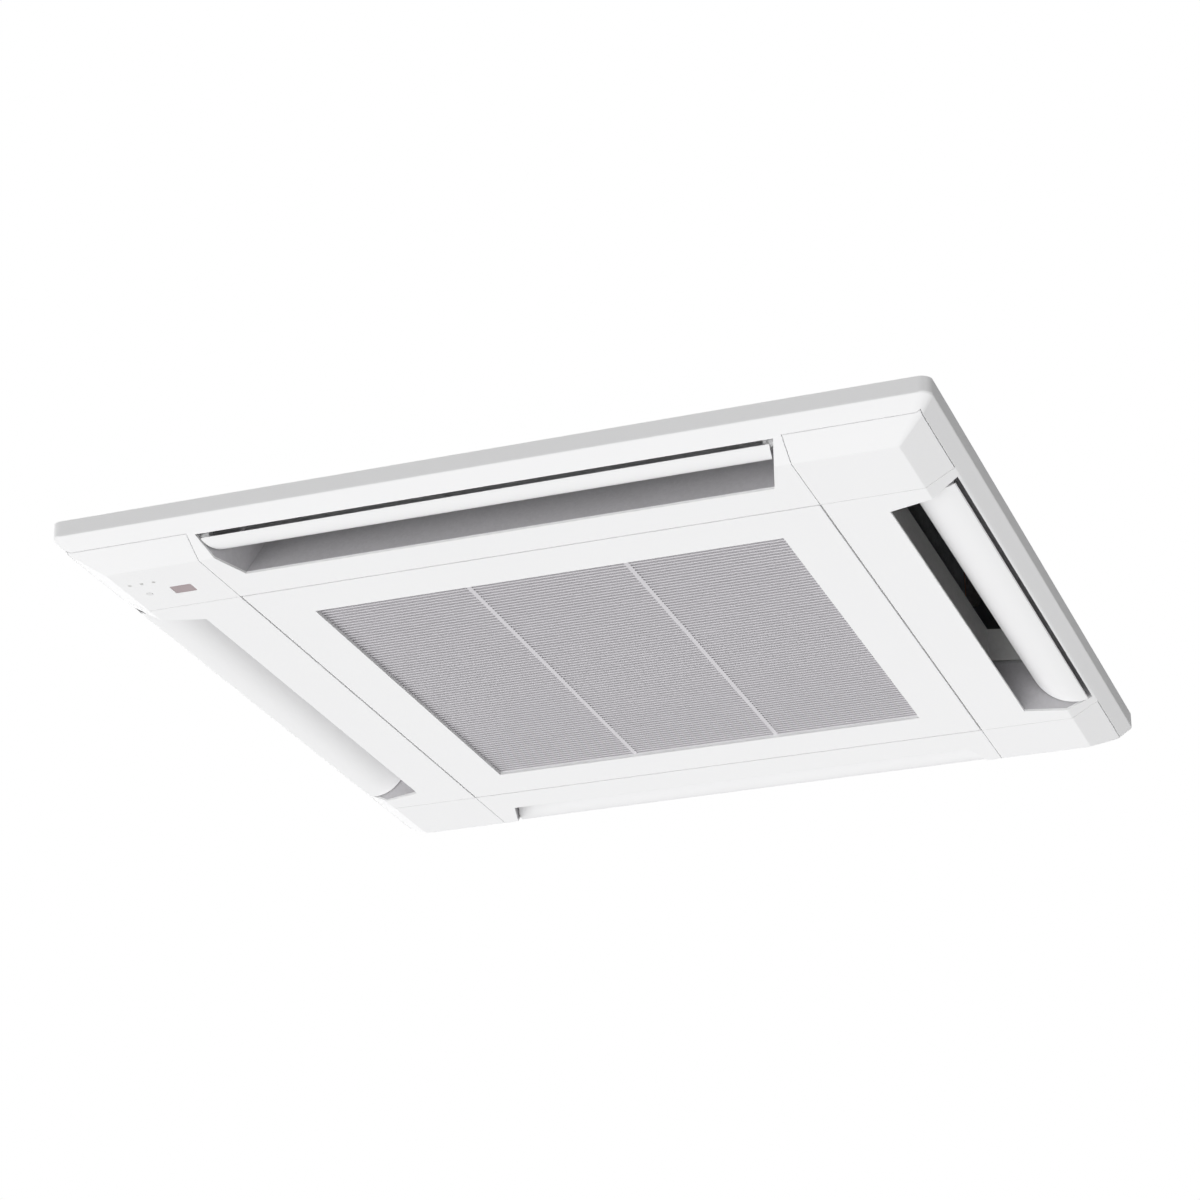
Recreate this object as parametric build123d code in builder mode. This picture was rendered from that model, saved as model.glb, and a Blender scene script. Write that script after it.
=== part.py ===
from build123d import *
import os
from math import cos, radians, sin, sqrt

# Four-way ceiling cassette indoor unit, in millimetres.
# Origin: centre of the decoration panel on the plane of the finished ceiling.
# +Z points up into the ceiling void, -Y is the front edge, +X the right-hand edge.

os.makedirs("parts", exist_ok=True)

# ---------------------------------------------------------------- driving dimensions
# decoration panel
panel_side = 950
rim_drop = 17.4
shoulder_inset = 13.4
shoulder_drop = 31.4
face_inset = 44.7
panel_drop = 48.9
rim_corner_radius = 12
shoulder_corner_radius = 8
face_corner_radius = 3
rim_edge_round = 3
shoulder_edge_round = 5
face_edge_round = 4
skin = 2.6
seam_gap = 2.0
collar_top = 12
# intake opening and grille
side_land = 62.2
front_land = 52.8
window_border_x = 57.0
window_border_y = 62.2
grille_lip_drop = 4.0
grille_skirt = 9
insert_thickness = 3
insert_lap = 6
insert_fields = 3
insert_slats = 80
insert_field_bar = 5
insert_slat_bar = 2.4
# outlet slots, duct liners and vanes
slot_outer_inset = 15.8
slot_inner_inset = 92.2
slot_end_land = 8.8
slot_taper = 22.6
duct_lean_outer = 58.2
duct_lean_inner = 35.8
duct_knee_drop = 20
liner_wall = 4
vane_pivot_inset = 28.0
vane_pivot_drop = 29.4
vane_outer_gap = 1.1
vane_outer_drop = 0.6
vane_inner_gap = 4.3
vane_inner_drop = 15.1
vane_sagitta = 16.5
vane_tip_thickness = 1.6
vane_mid_thickness = 3.2
vane_opening = 43.7
vane_end_gap = 5
vane_lug_radius = 5.5
vane_lug_thickness = 4
vane_pin_radius = 3
bush_radius = 5.5
bush_length = 5
bush_setback = 6.5
motor_radius = 12
motor_length = 19
socket_depth = 8
motor_shaft_radius = 2.5
motor_shaft_offset = 8
running_gap = 0.05
# grille hinge, catches and filter
hinge_inset = 21
hinge_rise = 8
hinge_pin_radius = 2.0
hinge_spacing = 460
catch_spacing = 400
catch_inset = 12
catch_plunger_radius = 4
catch_travel = 3
filter_lap_x = 20.4
filter_lap_y = 13.2
filter_thickness = 4
filter_border = 10
filter_cells = 6
filter_travel = 12
# corner covers and signal parts
cover_gap = 0.8
cover_fit = 0.3
ledge_width = 8
ledge_thickness = 2
window_inset_x = 106
window_inset_y = 103
window_width = 25
window_depth = 18
lens_radius = 2
lens_pitch = 14
lens_inset_x = 70
lens_inset_y = 77
button_inset_x = 66
button_radius = 3.5
button_travel = 1.5
# cabinet
seal_thickness = 3
panel_overhang = 55
cabinet_height = 246
cabinet_chamfer = 75
sheet = 1.2
flange_width = 12
foam_wall = 12
foam_roof = 10
hanger_inset = 30
hanger_height = 130
hanger_sheet = 2.5
hanger_hole_radius = 6.25
panel_screw_inset = 48
panel_screw_radius = 2.5
# drain pan and heat exchanger
pan_base = 12
pan_height = 40
pan_wall = 6
coil_pan_gap = 6
coil_thickness = 36
coil_corner = 110
coil_bottom_gap = 7
coil_rows = 8
tube_radius = 4.75
tube_column_pitch = 18
gas_pipe_radius = 7.94
gas_pipe_height = 185
liquid_pipe_radius = 4.76
liquid_pipe_height = 145
# fan and motor
fan_coil_gap = 71
fan_eye_step = 34
fan_blades = 7
bell_gap = 6
port_clearance = 28
shaft_radius = 6
fan_motor_radius = 66
fan_motor_height = 90
# electrical box
box_width = 100
box_length = 400
box_depth = 34

# ---------------------------------------------------------------- shared geometry
half = panel_side / 2
grille_half_x = half - slot_inner_inset - side_land
grille_half_y = half - slot_inner_inset - front_land
grille_window_x = grille_half_x - window_border_x
grille_window_y = grille_half_y - window_border_y
opening_x = grille_half_x + seam_gap
opening_y = grille_half_y + seam_gap
cabinet_bottom = collar_top + seal_thickness
cabinet_top = cabinet_bottom + cabinet_height
cabinet_half = half - panel_overhang
pocket_inner = grille_half_x + cover_gap
pocket_side = grille_half_y + cover_gap
slot_outer_half = pocket_inner - slot_end_land
slot_inner_half = slot_outer_half - slot_taper
duct_top_outer_inset = slot_outer_inset + duct_lean_outer
duct_top_inner_inset = slot_inner_inset + duct_lean_inner
panel_screw_at = cabinet_half - panel_screw_inset
slot_flare = (slot_outer_half - slot_inner_half) / (slot_inner_inset - slot_outer_inset)
pivot_reach = half - vane_pivot_inset
sides = {"front": 0, "right": 90, "back": 180, "left": 270}
corners = {"front_left": (-1, -1), "front_right": (1, -1), "back_left": (-1, 1), "back_right": (1, 1)}


def side_section(turn):
    """Upright plane across one side: x points out of the panel, y points up."""
    angle = radians(turn)
    return Plane(origin=(0, 0, 0), x_dir=(sin(angle), -cos(angle), 0), z_dir=(-cos(angle), -sin(angle), 0))


def side_plan(turn, height):
    """Level plane for one side: x runs along the side, y points to the centre."""
    angle = radians(turn)
    return Plane(origin=(0, 0, height), x_dir=(cos(angle), sin(angle), 0), z_dir=(0, 0, 1))


def pivot_plane(turn, along):
    """Plane square to a vane's axis, at a distance along the side; x points out, y down."""
    angle = radians(turn)
    run = Vector(cos(angle), sin(angle), 0)
    out = Vector(sin(angle), -cos(angle), 0)
    spot = run * along + out * pivot_reach + Vector(0, 0, -vane_pivot_drop)
    return Plane(origin=spot, x_dir=out, z_dir=run)


def slot_half_length(inset):
    """Half length of an outlet slot, which flares towards the rim."""
    return slot_inner_half + (slot_inner_inset - inset) * slot_flare


def slot_outline(outer_inset, inner_inset, grow):
    """Plan outline of a slot between two insets, with its ends moved out by grow."""
    outer = slot_half_length(outer_inset) + grow
    inner = slot_half_length(inner_inset) + grow
    return [
        (-outer, outer_inset - half),
        (outer, outer_inset - half),
        (inner, inner_inset - half),
        (-inner, inner_inset - half),
    ]


def inset_corner(before, corner, after, inset):
    """Move one corner of the rim profile inwards, square to both of its edges."""
    run_in = (corner - before).normalized()
    run_out = (after - corner).normalized()
    normal_in = Vector(run_in.Y, -run_in.X)
    normal_out = Vector(run_out.Y, -run_out.X)
    return corner + (normal_in + normal_out) * (inset / (1 + normal_in.dot(normal_out)))


least_round = 0.4


def dish(inset, top, rounded=True):
    """Solid tray with the panel's outer shape, moved inwards by inset, filled up to top."""
    brow = Vector(half, 0)
    rim = Vector(half, -rim_drop)
    shoulder = Vector(half - shoulder_inset, -shoulder_drop)
    face = Vector(half - face_inset, -panel_drop)
    middle = Vector(0, -panel_drop)
    low_rim = inset_corner(brow, rim, shoulder, inset)
    low_shoulder = inset_corner(rim, shoulder, face, inset)
    low_face = inset_corner(shoulder, face, middle, inset)
    rim_round = rim_corner_radius - inset / 2
    shoulder_round = shoulder_corner_radius - inset / 2
    face_round = face_corner_radius - inset / 4
    edge_rounds = {
        low_rim.Y: rim_edge_round,
        low_shoulder.Y: shoulder_edge_round,
        low_face.Y: face_edge_round,
    }
    with BuildPart() as tray:
        with BuildSketch(Plane.XY.offset(low_rim.Y)):
            RectangleRounded(2 * low_rim.X, 2 * low_rim.X, rim_round)
        extrude(amount=top - low_rim.Y)
        with BuildSketch(Plane.XY.offset(low_rim.Y)):
            RectangleRounded(2 * low_rim.X, 2 * low_rim.X, rim_round)
        with BuildSketch(Plane.XY.offset(low_shoulder.Y)):
            RectangleRounded(2 * low_shoulder.X, 2 * low_shoulder.X, shoulder_round)
        loft(ruled=True)
        with BuildSketch(Plane.XY.offset(low_shoulder.Y)):
            RectangleRounded(2 * low_shoulder.X, 2 * low_shoulder.X, shoulder_round)
        with BuildSketch(Plane.XY.offset(low_face.Y)):
            RectangleRounded(2 * low_face.X, 2 * low_face.X, face_round)
        loft(ruled=True)
        if rounded:
            for level, edge_round in edge_rounds.items():
                bend = tray.edges().filter_by_position(Axis.Z, level - 0.01, level + 0.01)
                fillet(bend, max(edge_round - inset, least_round))
    return tray.part


def octagon(inset):
    """Plan of the cabinet with its four chamfered corners, moved inwards by inset."""
    reach = cabinet_half - inset
    short = cabinet_half - cabinet_chamfer - inset * (sqrt(2) - 1)
    return [
        (short, -reach), (reach, -short), (reach, short), (short, reach),
        (-short, reach), (-reach, short), (-reach, -short), (-short, -reach),
    ]


outer_dish = dish(0, 0)
inner_dish = dish(skin, 1)
liner_gap = 0.2
liner_bed = dish(skin + liner_gap, collar_top, rounded=False)
pocket_outer = half - shoulder_inset
lug_along = slot_half_length(vane_pivot_inset) - vane_end_gap
motor_face = lug_along + socket_depth + bush_setback


def corner_block(sign_x, sign_y, grow):
    """Upright block over one corner cover's place, grown sideways by grow."""
    low_x = pocket_inner - grow
    low_y = pocket_side - grow
    width_x = pocket_outer + grow - low_x
    width_y = pocket_outer + grow - low_y
    with BuildPart() as block:
        with BuildSketch(Plane.XY.offset(-panel_drop - 1)):
            with Locations((sign_x * (low_x + width_x / 2), sign_y * (low_y + width_y / 2))):
                Rectangle(width_x, width_y)
        extrude(amount=panel_drop + 1 - shoulder_drop + skin + 4)
    return block.part


# ---------------------------------------------------------------- decoration panel frame
# One moulded tray: sloped rim, face, intake collar, four outlet slots, four corner
# pockets with a ledge for the covers, hinge ears and fixing gussets.
cover_bed = dish(skin + cover_fit, 1)
ledge_skin = outer_dish - dish(skin + cover_fit + ledge_thickness, 1)
ledge_root = 3
gusset_edge = 14
gusset_reach = panel_screw_at + gusset_edge
gusset_x = (opening_x + gusset_reach) / 2
gusset_y = (opening_y + gusset_reach) / 2
boss_radius = 8
gusset_top = -3
gusset_thickness = 3
ear_thickness = 3
ear_gap = 0.5
lug_width = 6
hinge_y = grille_half_y - hinge_inset
hinge_z = -panel_drop + hinge_rise
ear_reach = 4.5
shelf_drop = 12
screw_clearance = 0.3
motor_notch_gap = 0.9
with BuildPart() as panel_frame:
    add(outer_dish)
    add(inner_dish, mode=Mode.SUBTRACT)
    with BuildSketch(Plane.XY.offset(-panel_drop)):
        Rectangle(2 * (opening_x + skin), 2 * (opening_y + skin))
    extrude(amount=panel_drop + collar_top)
    for sign_x, sign_y in corners.values():
        add(corner_block(sign_x, sign_y, ledge_root) & ledge_skin)
        add(corner_block(sign_x, sign_y, 0) - cover_bed, mode=Mode.SUBTRACT)
        add(corner_block(sign_x, sign_y, -ledge_width), mode=Mode.SUBTRACT)
        with BuildSketch(Plane.XY.offset(gusset_top - gusset_thickness)):
            with Locations((sign_x * gusset_x, sign_y * gusset_y)):
                Rectangle(gusset_reach - opening_x, gusset_reach - opening_y)
        extrude(amount=gusset_thickness)
        with BuildSketch(Plane.XY.offset(gusset_top)):
            with Locations((sign_x * panel_screw_at, sign_y * panel_screw_at)):
                Circle(boss_radius)
        extrude(amount=cabinet_bottom - gusset_top)
        with BuildSketch(Plane.XY.offset(gusset_top - gusset_thickness)):
            with Locations((sign_x * panel_screw_at, sign_y * panel_screw_at)):
                Circle(panel_screw_radius + screw_clearance)
        extrude(amount=cabinet_bottom - gusset_top + gusset_thickness, mode=Mode.SUBTRACT)
    with BuildSketch(Plane.XY.offset(-panel_drop)):
        Rectangle(2 * opening_x, 2 * opening_y)
    extrude(amount=panel_drop + collar_top, mode=Mode.SUBTRACT)
    for turn in sides.values():
        with BuildSketch(side_plan(turn, -panel_drop)):
            Polygon(*slot_outline(slot_outer_inset, slot_inner_inset, 0))
        extrude(amount=panel_drop, mode=Mode.SUBTRACT)
    for turn in sides.values():
        with BuildSketch(pivot_plane(turn, motor_face - 1)):
            with Locations((0, -motor_shaft_offset)):
                Circle(motor_radius + motor_notch_gap)
        extrude(amount=motor_length + 2, mode=Mode.SUBTRACT)
    for hinge_x in (-hinge_spacing / 2, hinge_spacing / 2):
        for side in (-1, 1):
            ear_x = hinge_x + side * (lug_width / 2 + ear_gap + ear_thickness / 2)
            with BuildSketch(Plane.YZ.offset(ear_x)):
                with Locations((hinge_y, hinge_z)):
                    Circle(ear_reach)
                Polygon(
                    (hinge_y - ear_reach, hinge_z),
                    (hinge_y + ear_reach, hinge_z),
                    (hinge_y + ear_reach, -shelf_drop),
                    (opening_y + skin / 2, -shelf_drop),
                    (opening_y + skin / 2, -shelf_drop + ear_thickness),
                    (hinge_y - ear_reach, -shelf_drop + ear_thickness),
                )
                with Locations((hinge_y, hinge_z)):
                    Circle(hinge_pin_radius, mode=Mode.SUBTRACT)
            extrude(amount=ear_thickness / 2, both=True)
panel_frame.part.label = "panel_frame"
export_step(panel_frame.part, "parts/panel_frame.step")

# ---------------------------------------------------------------- corner covers
# Thin covers that clip into the corner pockets and hide the hanging bolts. The front
# left one carries the receiver window, three lenses, the manual button and, on three
# posts, the board behind them.
clip_thickness = 2
clip_width = 14
clip_height = 11
board_gap = 6
board_z = -panel_drop + skin + board_gap
board_post_radius = 2
board_post_x = 34
board_post_y = 23
window_x = window_inset_x - half
window_y = window_inset_y - half
lens_row_x = lens_inset_x - half
lens_row_y = lens_inset_y - half
button_x = button_inset_x - half
button_y = window_y
board_x = (window_x + lens_row_x) / 2
board_middle_y = (window_y + lens_row_y) / 2
board_posts = [
    (board_x + side_x * board_post_x, board_middle_y + side_y * board_post_y)
    for side_x, side_y in ((1, -1), (-1, -1), (-1, 1))
]
window_corner = 2
button_gap = 0.2
lens_spots = [(lens_row_x + step * lens_pitch, lens_row_y) for step in (-1, 0, 1)]
for corner, (sign_x, sign_y) in corners.items():
    middle_x = sign_x * (pocket_inner + pocket_outer) / 2
    middle_y = sign_y * (pocket_side + pocket_outer) / 2
    clip_x = sign_x * (pocket_inner + cover_gap + ledge_width + 1)
    clip_y = sign_y * (pocket_side + cover_gap + ledge_width + 1)
    with BuildPart() as corner_cover:
        add((outer_dish - inner_dish) & corner_block(sign_x, sign_y, -cover_gap))
        with BuildSketch(Plane.XY.offset(-panel_drop + skin - 0.5)):
            with Locations((clip_x, middle_y)):
                Rectangle(clip_thickness, clip_width)
            with Locations((middle_x, clip_y)):
                Rectangle(clip_width, clip_thickness)
        extrude(amount=clip_height)
        if corner == "front_left":
            with BuildSketch(Plane.XY.offset(-panel_drop - 1)):
                with Locations((window_x, window_y)):
                    RectangleRounded(window_width, window_depth, window_corner)
                with Locations(*lens_spots):
                    Circle(lens_radius)
                with Locations((button_x, button_y)):
                    Circle(button_radius + button_gap)
            extrude(amount=skin + 2, mode=Mode.SUBTRACT)
            with BuildSketch(Plane.XY.offset(board_z - board_gap)):
                with Locations(*board_posts):
                    Circle(board_post_radius)
            extrude(amount=board_gap)
    corner_cover.part.label = f"corner_cover_{corner}"
    export_step(corner_cover.part, f"parts/corner_cover_{corner}.step")

# ---------------------------------------------------------------- signal parts
# Tinted receiver window, three light guides, the manual button and the small board
# behind them, all held behind the front left corner cover.
board_thickness = 1.6
window_recess = 0.2
window_fit = 0.1
window_lip = 2
window_lip_thickness = 1.2
pane_width = window_width - 2 * window_fit
pane_depth = window_depth - 2 * window_fit
with BuildPart() as receiver_window:
    with BuildSketch(Plane.XY.offset(-panel_drop + window_recess)):
        with Locations((window_x, window_y)):
            RectangleRounded(pane_width, pane_depth, window_corner - window_fit)
    extrude(amount=skin - window_recess)
    with BuildSketch(Plane.XY.offset(-panel_drop + skin)):
        with Locations((window_x, window_y)):
            RectangleRounded(window_width + 2 * window_lip, window_depth + 2 * window_lip, window_corner + 1)
    extrude(amount=window_lip_thickness)
receiver_window.part.label = "receiver_window"
export_step(receiver_window.part, "parts/receiver_window.step")

light_guide_length = 2
with BuildPart() as indicator_lenses:
    with BuildSketch(Plane.XY.offset(-panel_drop)):
        with Locations(*lens_spots):
            Circle(lens_radius - running_gap)
    extrude(amount=skin + light_guide_length)
    with BuildSketch(Plane.XY.offset(-panel_drop + skin)):
        with Locations(*lens_spots):
            Circle(lens_radius + 1)
    extrude(amount=1)
indicator_lenses.part.label = "indicator_lenses"
export_step(indicator_lenses.part, "parts/indicator_lenses.step")

button_proud = 0.4
button_float = 0.35
button_collar = 1.2
button_collar_thickness = 1
with BuildPart() as manual_button:
    with BuildSketch(Plane.XY.offset(-panel_drop - button_proud)):
        with Locations((button_x, button_y)):
            Circle(button_radius)
    extrude(amount=button_proud + skin + button_float + button_collar_thickness / 2)
    with BuildSketch(Plane.XY.offset(-panel_drop + skin + button_float)):
        with Locations((button_x, button_y)):
            Circle(button_radius + button_collar)
    extrude(amount=button_collar_thickness)
manual_button.part.label = "manual_button"
export_step(manual_button.part, "parts/manual_button.step")

display_margin = 4
receiver_chip = (10, 8)
receiver_chip_height = 3
switch_side = 6
switch_gap = 0.4
switch_height = board_gap - button_float - button_collar_thickness - button_travel - switch_gap
with BuildPart() as display_board:
    with BuildSketch(Plane.XY.offset(board_z)):
        with Locations((board_x, board_middle_y)):
            RectangleRounded(2 * (board_post_x + display_margin), 2 * (board_post_y + display_margin), 3)
    extrude(amount=board_thickness)
    with BuildSketch(Plane.XY.offset(board_z)):
        with Locations((window_x, window_y)):
            Rectangle(*receiver_chip)
    extrude(amount=-receiver_chip_height)
    with BuildSketch(Plane.XY.offset(board_z)):
        with Locations((button_x, button_y)):
            Rectangle(switch_side, switch_side)
    extrude(amount=-switch_height)
display_board.part.label = "display_board"
export_step(display_board.part, "parts/display_board.step")

# ---------------------------------------------------------------- hinged intake grille
# Flat moulded frame with a stiffening skirt, a stepped window for the lattice, guide
# rails for the filter, hinge lugs at the back edge and strikes at the front edge.
rail_thickness = 2
rail_lip = 5
rail_setback = 11
rail_gap = 0.6
filter_half_x = grille_window_x + filter_lap_x
filter_half_y = grille_window_y + filter_lap_y
rail_y = filter_half_y - rail_setback
rail_middle = filter_half_x + rail_gap + rail_thickness / 2
grille_top = -panel_drop + skin
insert_bottom = -panel_drop + grille_lip_drop
insert_top = insert_bottom + insert_thickness
filter_bottom = insert_top + rail_gap
filter_top = filter_bottom + filter_thickness
catch_y = grille_half_y - catch_inset
strike_height = 14.9
strike_top = -panel_drop + strike_height
strike_width = 12
strike_depth = 8
lug_reach = 4.2
skirt_corner_round = 2
ear_notch_side = 1.5
ear_notch = lug_width + 2 * (ear_gap + ear_thickness + ear_notch_side)
with BuildPart() as intake_grille:
    with BuildSketch(Plane.XY.offset(-panel_drop)):
        Rectangle(2 * grille_half_x, 2 * grille_half_y)
    extrude(amount=grille_skirt)
    with BuildSketch(Plane.XY.offset(grille_top)):
        Rectangle(2 * (grille_half_x - skin), 2 * (grille_half_y - skin))
    extrude(amount=grille_skirt, mode=Mode.SUBTRACT)
    with BuildSketch(Plane.XY.offset(-panel_drop)):
        Rectangle(2 * (grille_window_x + insert_lap), 2 * (grille_window_y + insert_lap))
    extrude(amount=grille_lip_drop)
    with BuildSketch(Plane.XY.offset(-panel_drop)):
        Rectangle(2 * grille_window_x, 2 * grille_window_y)
    extrude(amount=grille_lip_drop, mode=Mode.SUBTRACT)
    with BuildSketch(Plane.XY.offset(grille_top)):
        with Locations((-rail_middle, 0), (rail_middle, 0)):
            Rectangle(rail_thickness, 2 * rail_y)
    extrude(amount=filter_top + rail_gap + rail_thickness - grille_top)
    with BuildSketch(Plane.XY.offset(filter_top + rail_gap)):
        lip_middle = filter_half_x + rail_gap - rail_lip / 2
        with Locations((-lip_middle, 0), (lip_middle, 0)):
            Rectangle(rail_lip, 2 * rail_y)
    extrude(amount=rail_thickness)
    with BuildSketch(Plane.XY.offset(grille_top)):
        with GridLocations(catch_spacing, 2 * catch_y, 2, 1):
            with Locations((0, -catch_y)):
                Rectangle(strike_width, strike_depth)
    extrude(amount=strike_top - grille_top)
    with BuildSketch(Plane.XY.offset(grille_top)):
        with Locations((-hinge_spacing / 2, grille_half_y), (hinge_spacing / 2, grille_half_y)):
            Rectangle(ear_notch, 2 * (skin + 1))
    extrude(amount=grille_skirt, mode=Mode.SUBTRACT)
    for hinge_x in (-hinge_spacing / 2, hinge_spacing / 2):
        with BuildSketch(Plane.YZ.offset(hinge_x)):
            with Locations((hinge_y, hinge_z)):
                Circle(lug_reach)
            with Locations((hinge_y, (hinge_z + grille_top) / 2)):
                Rectangle(2 * lug_reach, hinge_z - grille_top)
            with Locations((hinge_y, hinge_z)):
                Circle(hinge_pin_radius + running_gap, mode=Mode.SUBTRACT)
        extrude(amount=lug_width / 2, both=True)
    fillet(intake_grille.edges().filter_by(Axis.Z).group_by(SortBy.DISTANCE)[-1], skirt_corner_round)
intake_grille.part.label = "intake_grille"
export_step(intake_grille.part, "parts/intake_grille.step")

# Lattice insert: three fields of fine slats between two wider bars, clipped in behind
# the grille's window.
field_width = (2 * grille_window_x - (insert_fields - 1) * insert_field_bar) / insert_fields
slat_pitch = 2 * grille_window_y / insert_slats
with BuildPart() as grille_insert:
    with BuildSketch(Plane.XY.offset(insert_bottom)):
        Rectangle(2 * (grille_window_x + insert_lap), 2 * (grille_window_y + insert_lap))
        with GridLocations(field_width + insert_field_bar, slat_pitch, insert_fields, insert_slats):
            Rectangle(field_width, slat_pitch - insert_slat_bar, mode=Mode.SUBTRACT)
    extrude(amount=insert_thickness)
grille_insert.part.label = "grille_insert"
export_step(grille_insert.part, "parts/grille_insert.step")

# ---------------------------------------------------------------- washable air filter
# Flexible plastic frame with cross ribs, and the fine net moulded into it. It slides
# a little to free its edge from the rails before it is lifted off.
net_thickness = 0.6
cell_bar = 3
filter_corner = 6
filter_tab_width = 60
filter_tab_height = 6
cell_x = 2 * (filter_half_x - filter_border) / filter_cells
cell_y = 2 * (filter_half_y - filter_border) / filter_cells
with BuildPart() as air_filter_frame:
    with BuildSketch(Plane.XY.offset(filter_bottom)):
        RectangleRounded(2 * filter_half_x, 2 * filter_half_y, filter_corner)
        with GridLocations(cell_x, cell_y, filter_cells, filter_cells):
            Rectangle(cell_x - cell_bar, cell_y - cell_bar, mode=Mode.SUBTRACT)
    extrude(amount=filter_thickness)
    with BuildSketch(Plane.XY.offset(filter_top)):
        with Locations((0, -filter_half_y + filter_border / 2)):
            RectangleRounded(filter_tab_width, filter_border - 2, filter_corner / 2)
    extrude(amount=filter_tab_height)
air_filter_frame.part.label = "air_filter_frame"
export_step(air_filter_frame.part, "parts/air_filter_frame.step")

with BuildPart() as air_filter_net:
    with BuildSketch(Plane.XY.offset(filter_top - filter_thickness / 2)):
        with GridLocations(cell_x, cell_y, filter_cells, filter_cells):
            Rectangle(cell_x - cell_bar, cell_y - cell_bar)
    extrude(amount=net_thickness)
air_filter_net.part.label = "air_filter_net"
export_step(air_filter_net.part, "parts/air_filter_net.step")

# ---------------------------------------------------------------- hinge pins
hinge_pin_end = 1
with BuildPart() as hinge_pins:
    for hinge_x in (-hinge_spacing / 2, hinge_spacing / 2):
        with BuildSketch(Plane.YZ.offset(hinge_x)):
            with Locations((hinge_y, hinge_z)):
                Circle(hinge_pin_radius)
        extrude(amount=lug_width / 2 + ear_gap + ear_thickness + hinge_pin_end, both=True)
hinge_pins.part.label = "hinge_pins"
export_step(hinge_pins.part, "parts/hinge_pins.step")

# ---------------------------------------------------------------- push catches
# Two housings on the front wall of the intake collar. Each holds a sprung plunger:
# pressing the grille up pushes the plunger in and lets the strike go.
housing_gap = 5
housing_bottom = strike_top + housing_gap
housing_height = 24
housing_width = 22
housing_front = 7
housing_roof = 2
plunger_y = -catch_y
plunger_bottom = strike_top + cover_fit
spring_room = catch_travel + 0.5
plunger_top = housing_bottom + housing_height - housing_roof - spring_room
plunger_bevel = 1
with BuildPart() as catch_housings:
    for catch_x in (-catch_spacing / 2, catch_spacing / 2):
        with BuildSketch(Plane.XY.offset(housing_bottom)):
            with Locations((catch_x, (plunger_y + housing_front - opening_y) / 2)):
                Rectangle(housing_width, opening_y + plunger_y + housing_front)
        extrude(amount=housing_height)
        with BuildSketch(Plane.XY.offset(housing_bottom)):
            with Locations((catch_x, plunger_y)):
                Circle(catch_plunger_radius + running_gap)
        extrude(amount=housing_height - housing_roof, mode=Mode.SUBTRACT)
catch_housings.part.label = "catch_housings"
export_step(catch_housings.part, "parts/catch_housings.step")

for name, catch_x in {"left": -catch_spacing / 2, "right": catch_spacing / 2}.items():
    with BuildPart() as catch_plunger:
        with BuildSketch(Plane.XY.offset(plunger_bottom)):
            with Locations((catch_x, plunger_y)):
                Circle(catch_plunger_radius)
        extrude(amount=plunger_top - plunger_bottom)
        chamfer(catch_plunger.faces().sort_by(Axis.Z)[0].edges(), plunger_bevel)
    catch_plunger.part.label = f"catch_plunger_{name}"
    export_step(catch_plunger.part, f"parts/catch_plunger_{name}.step")

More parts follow.
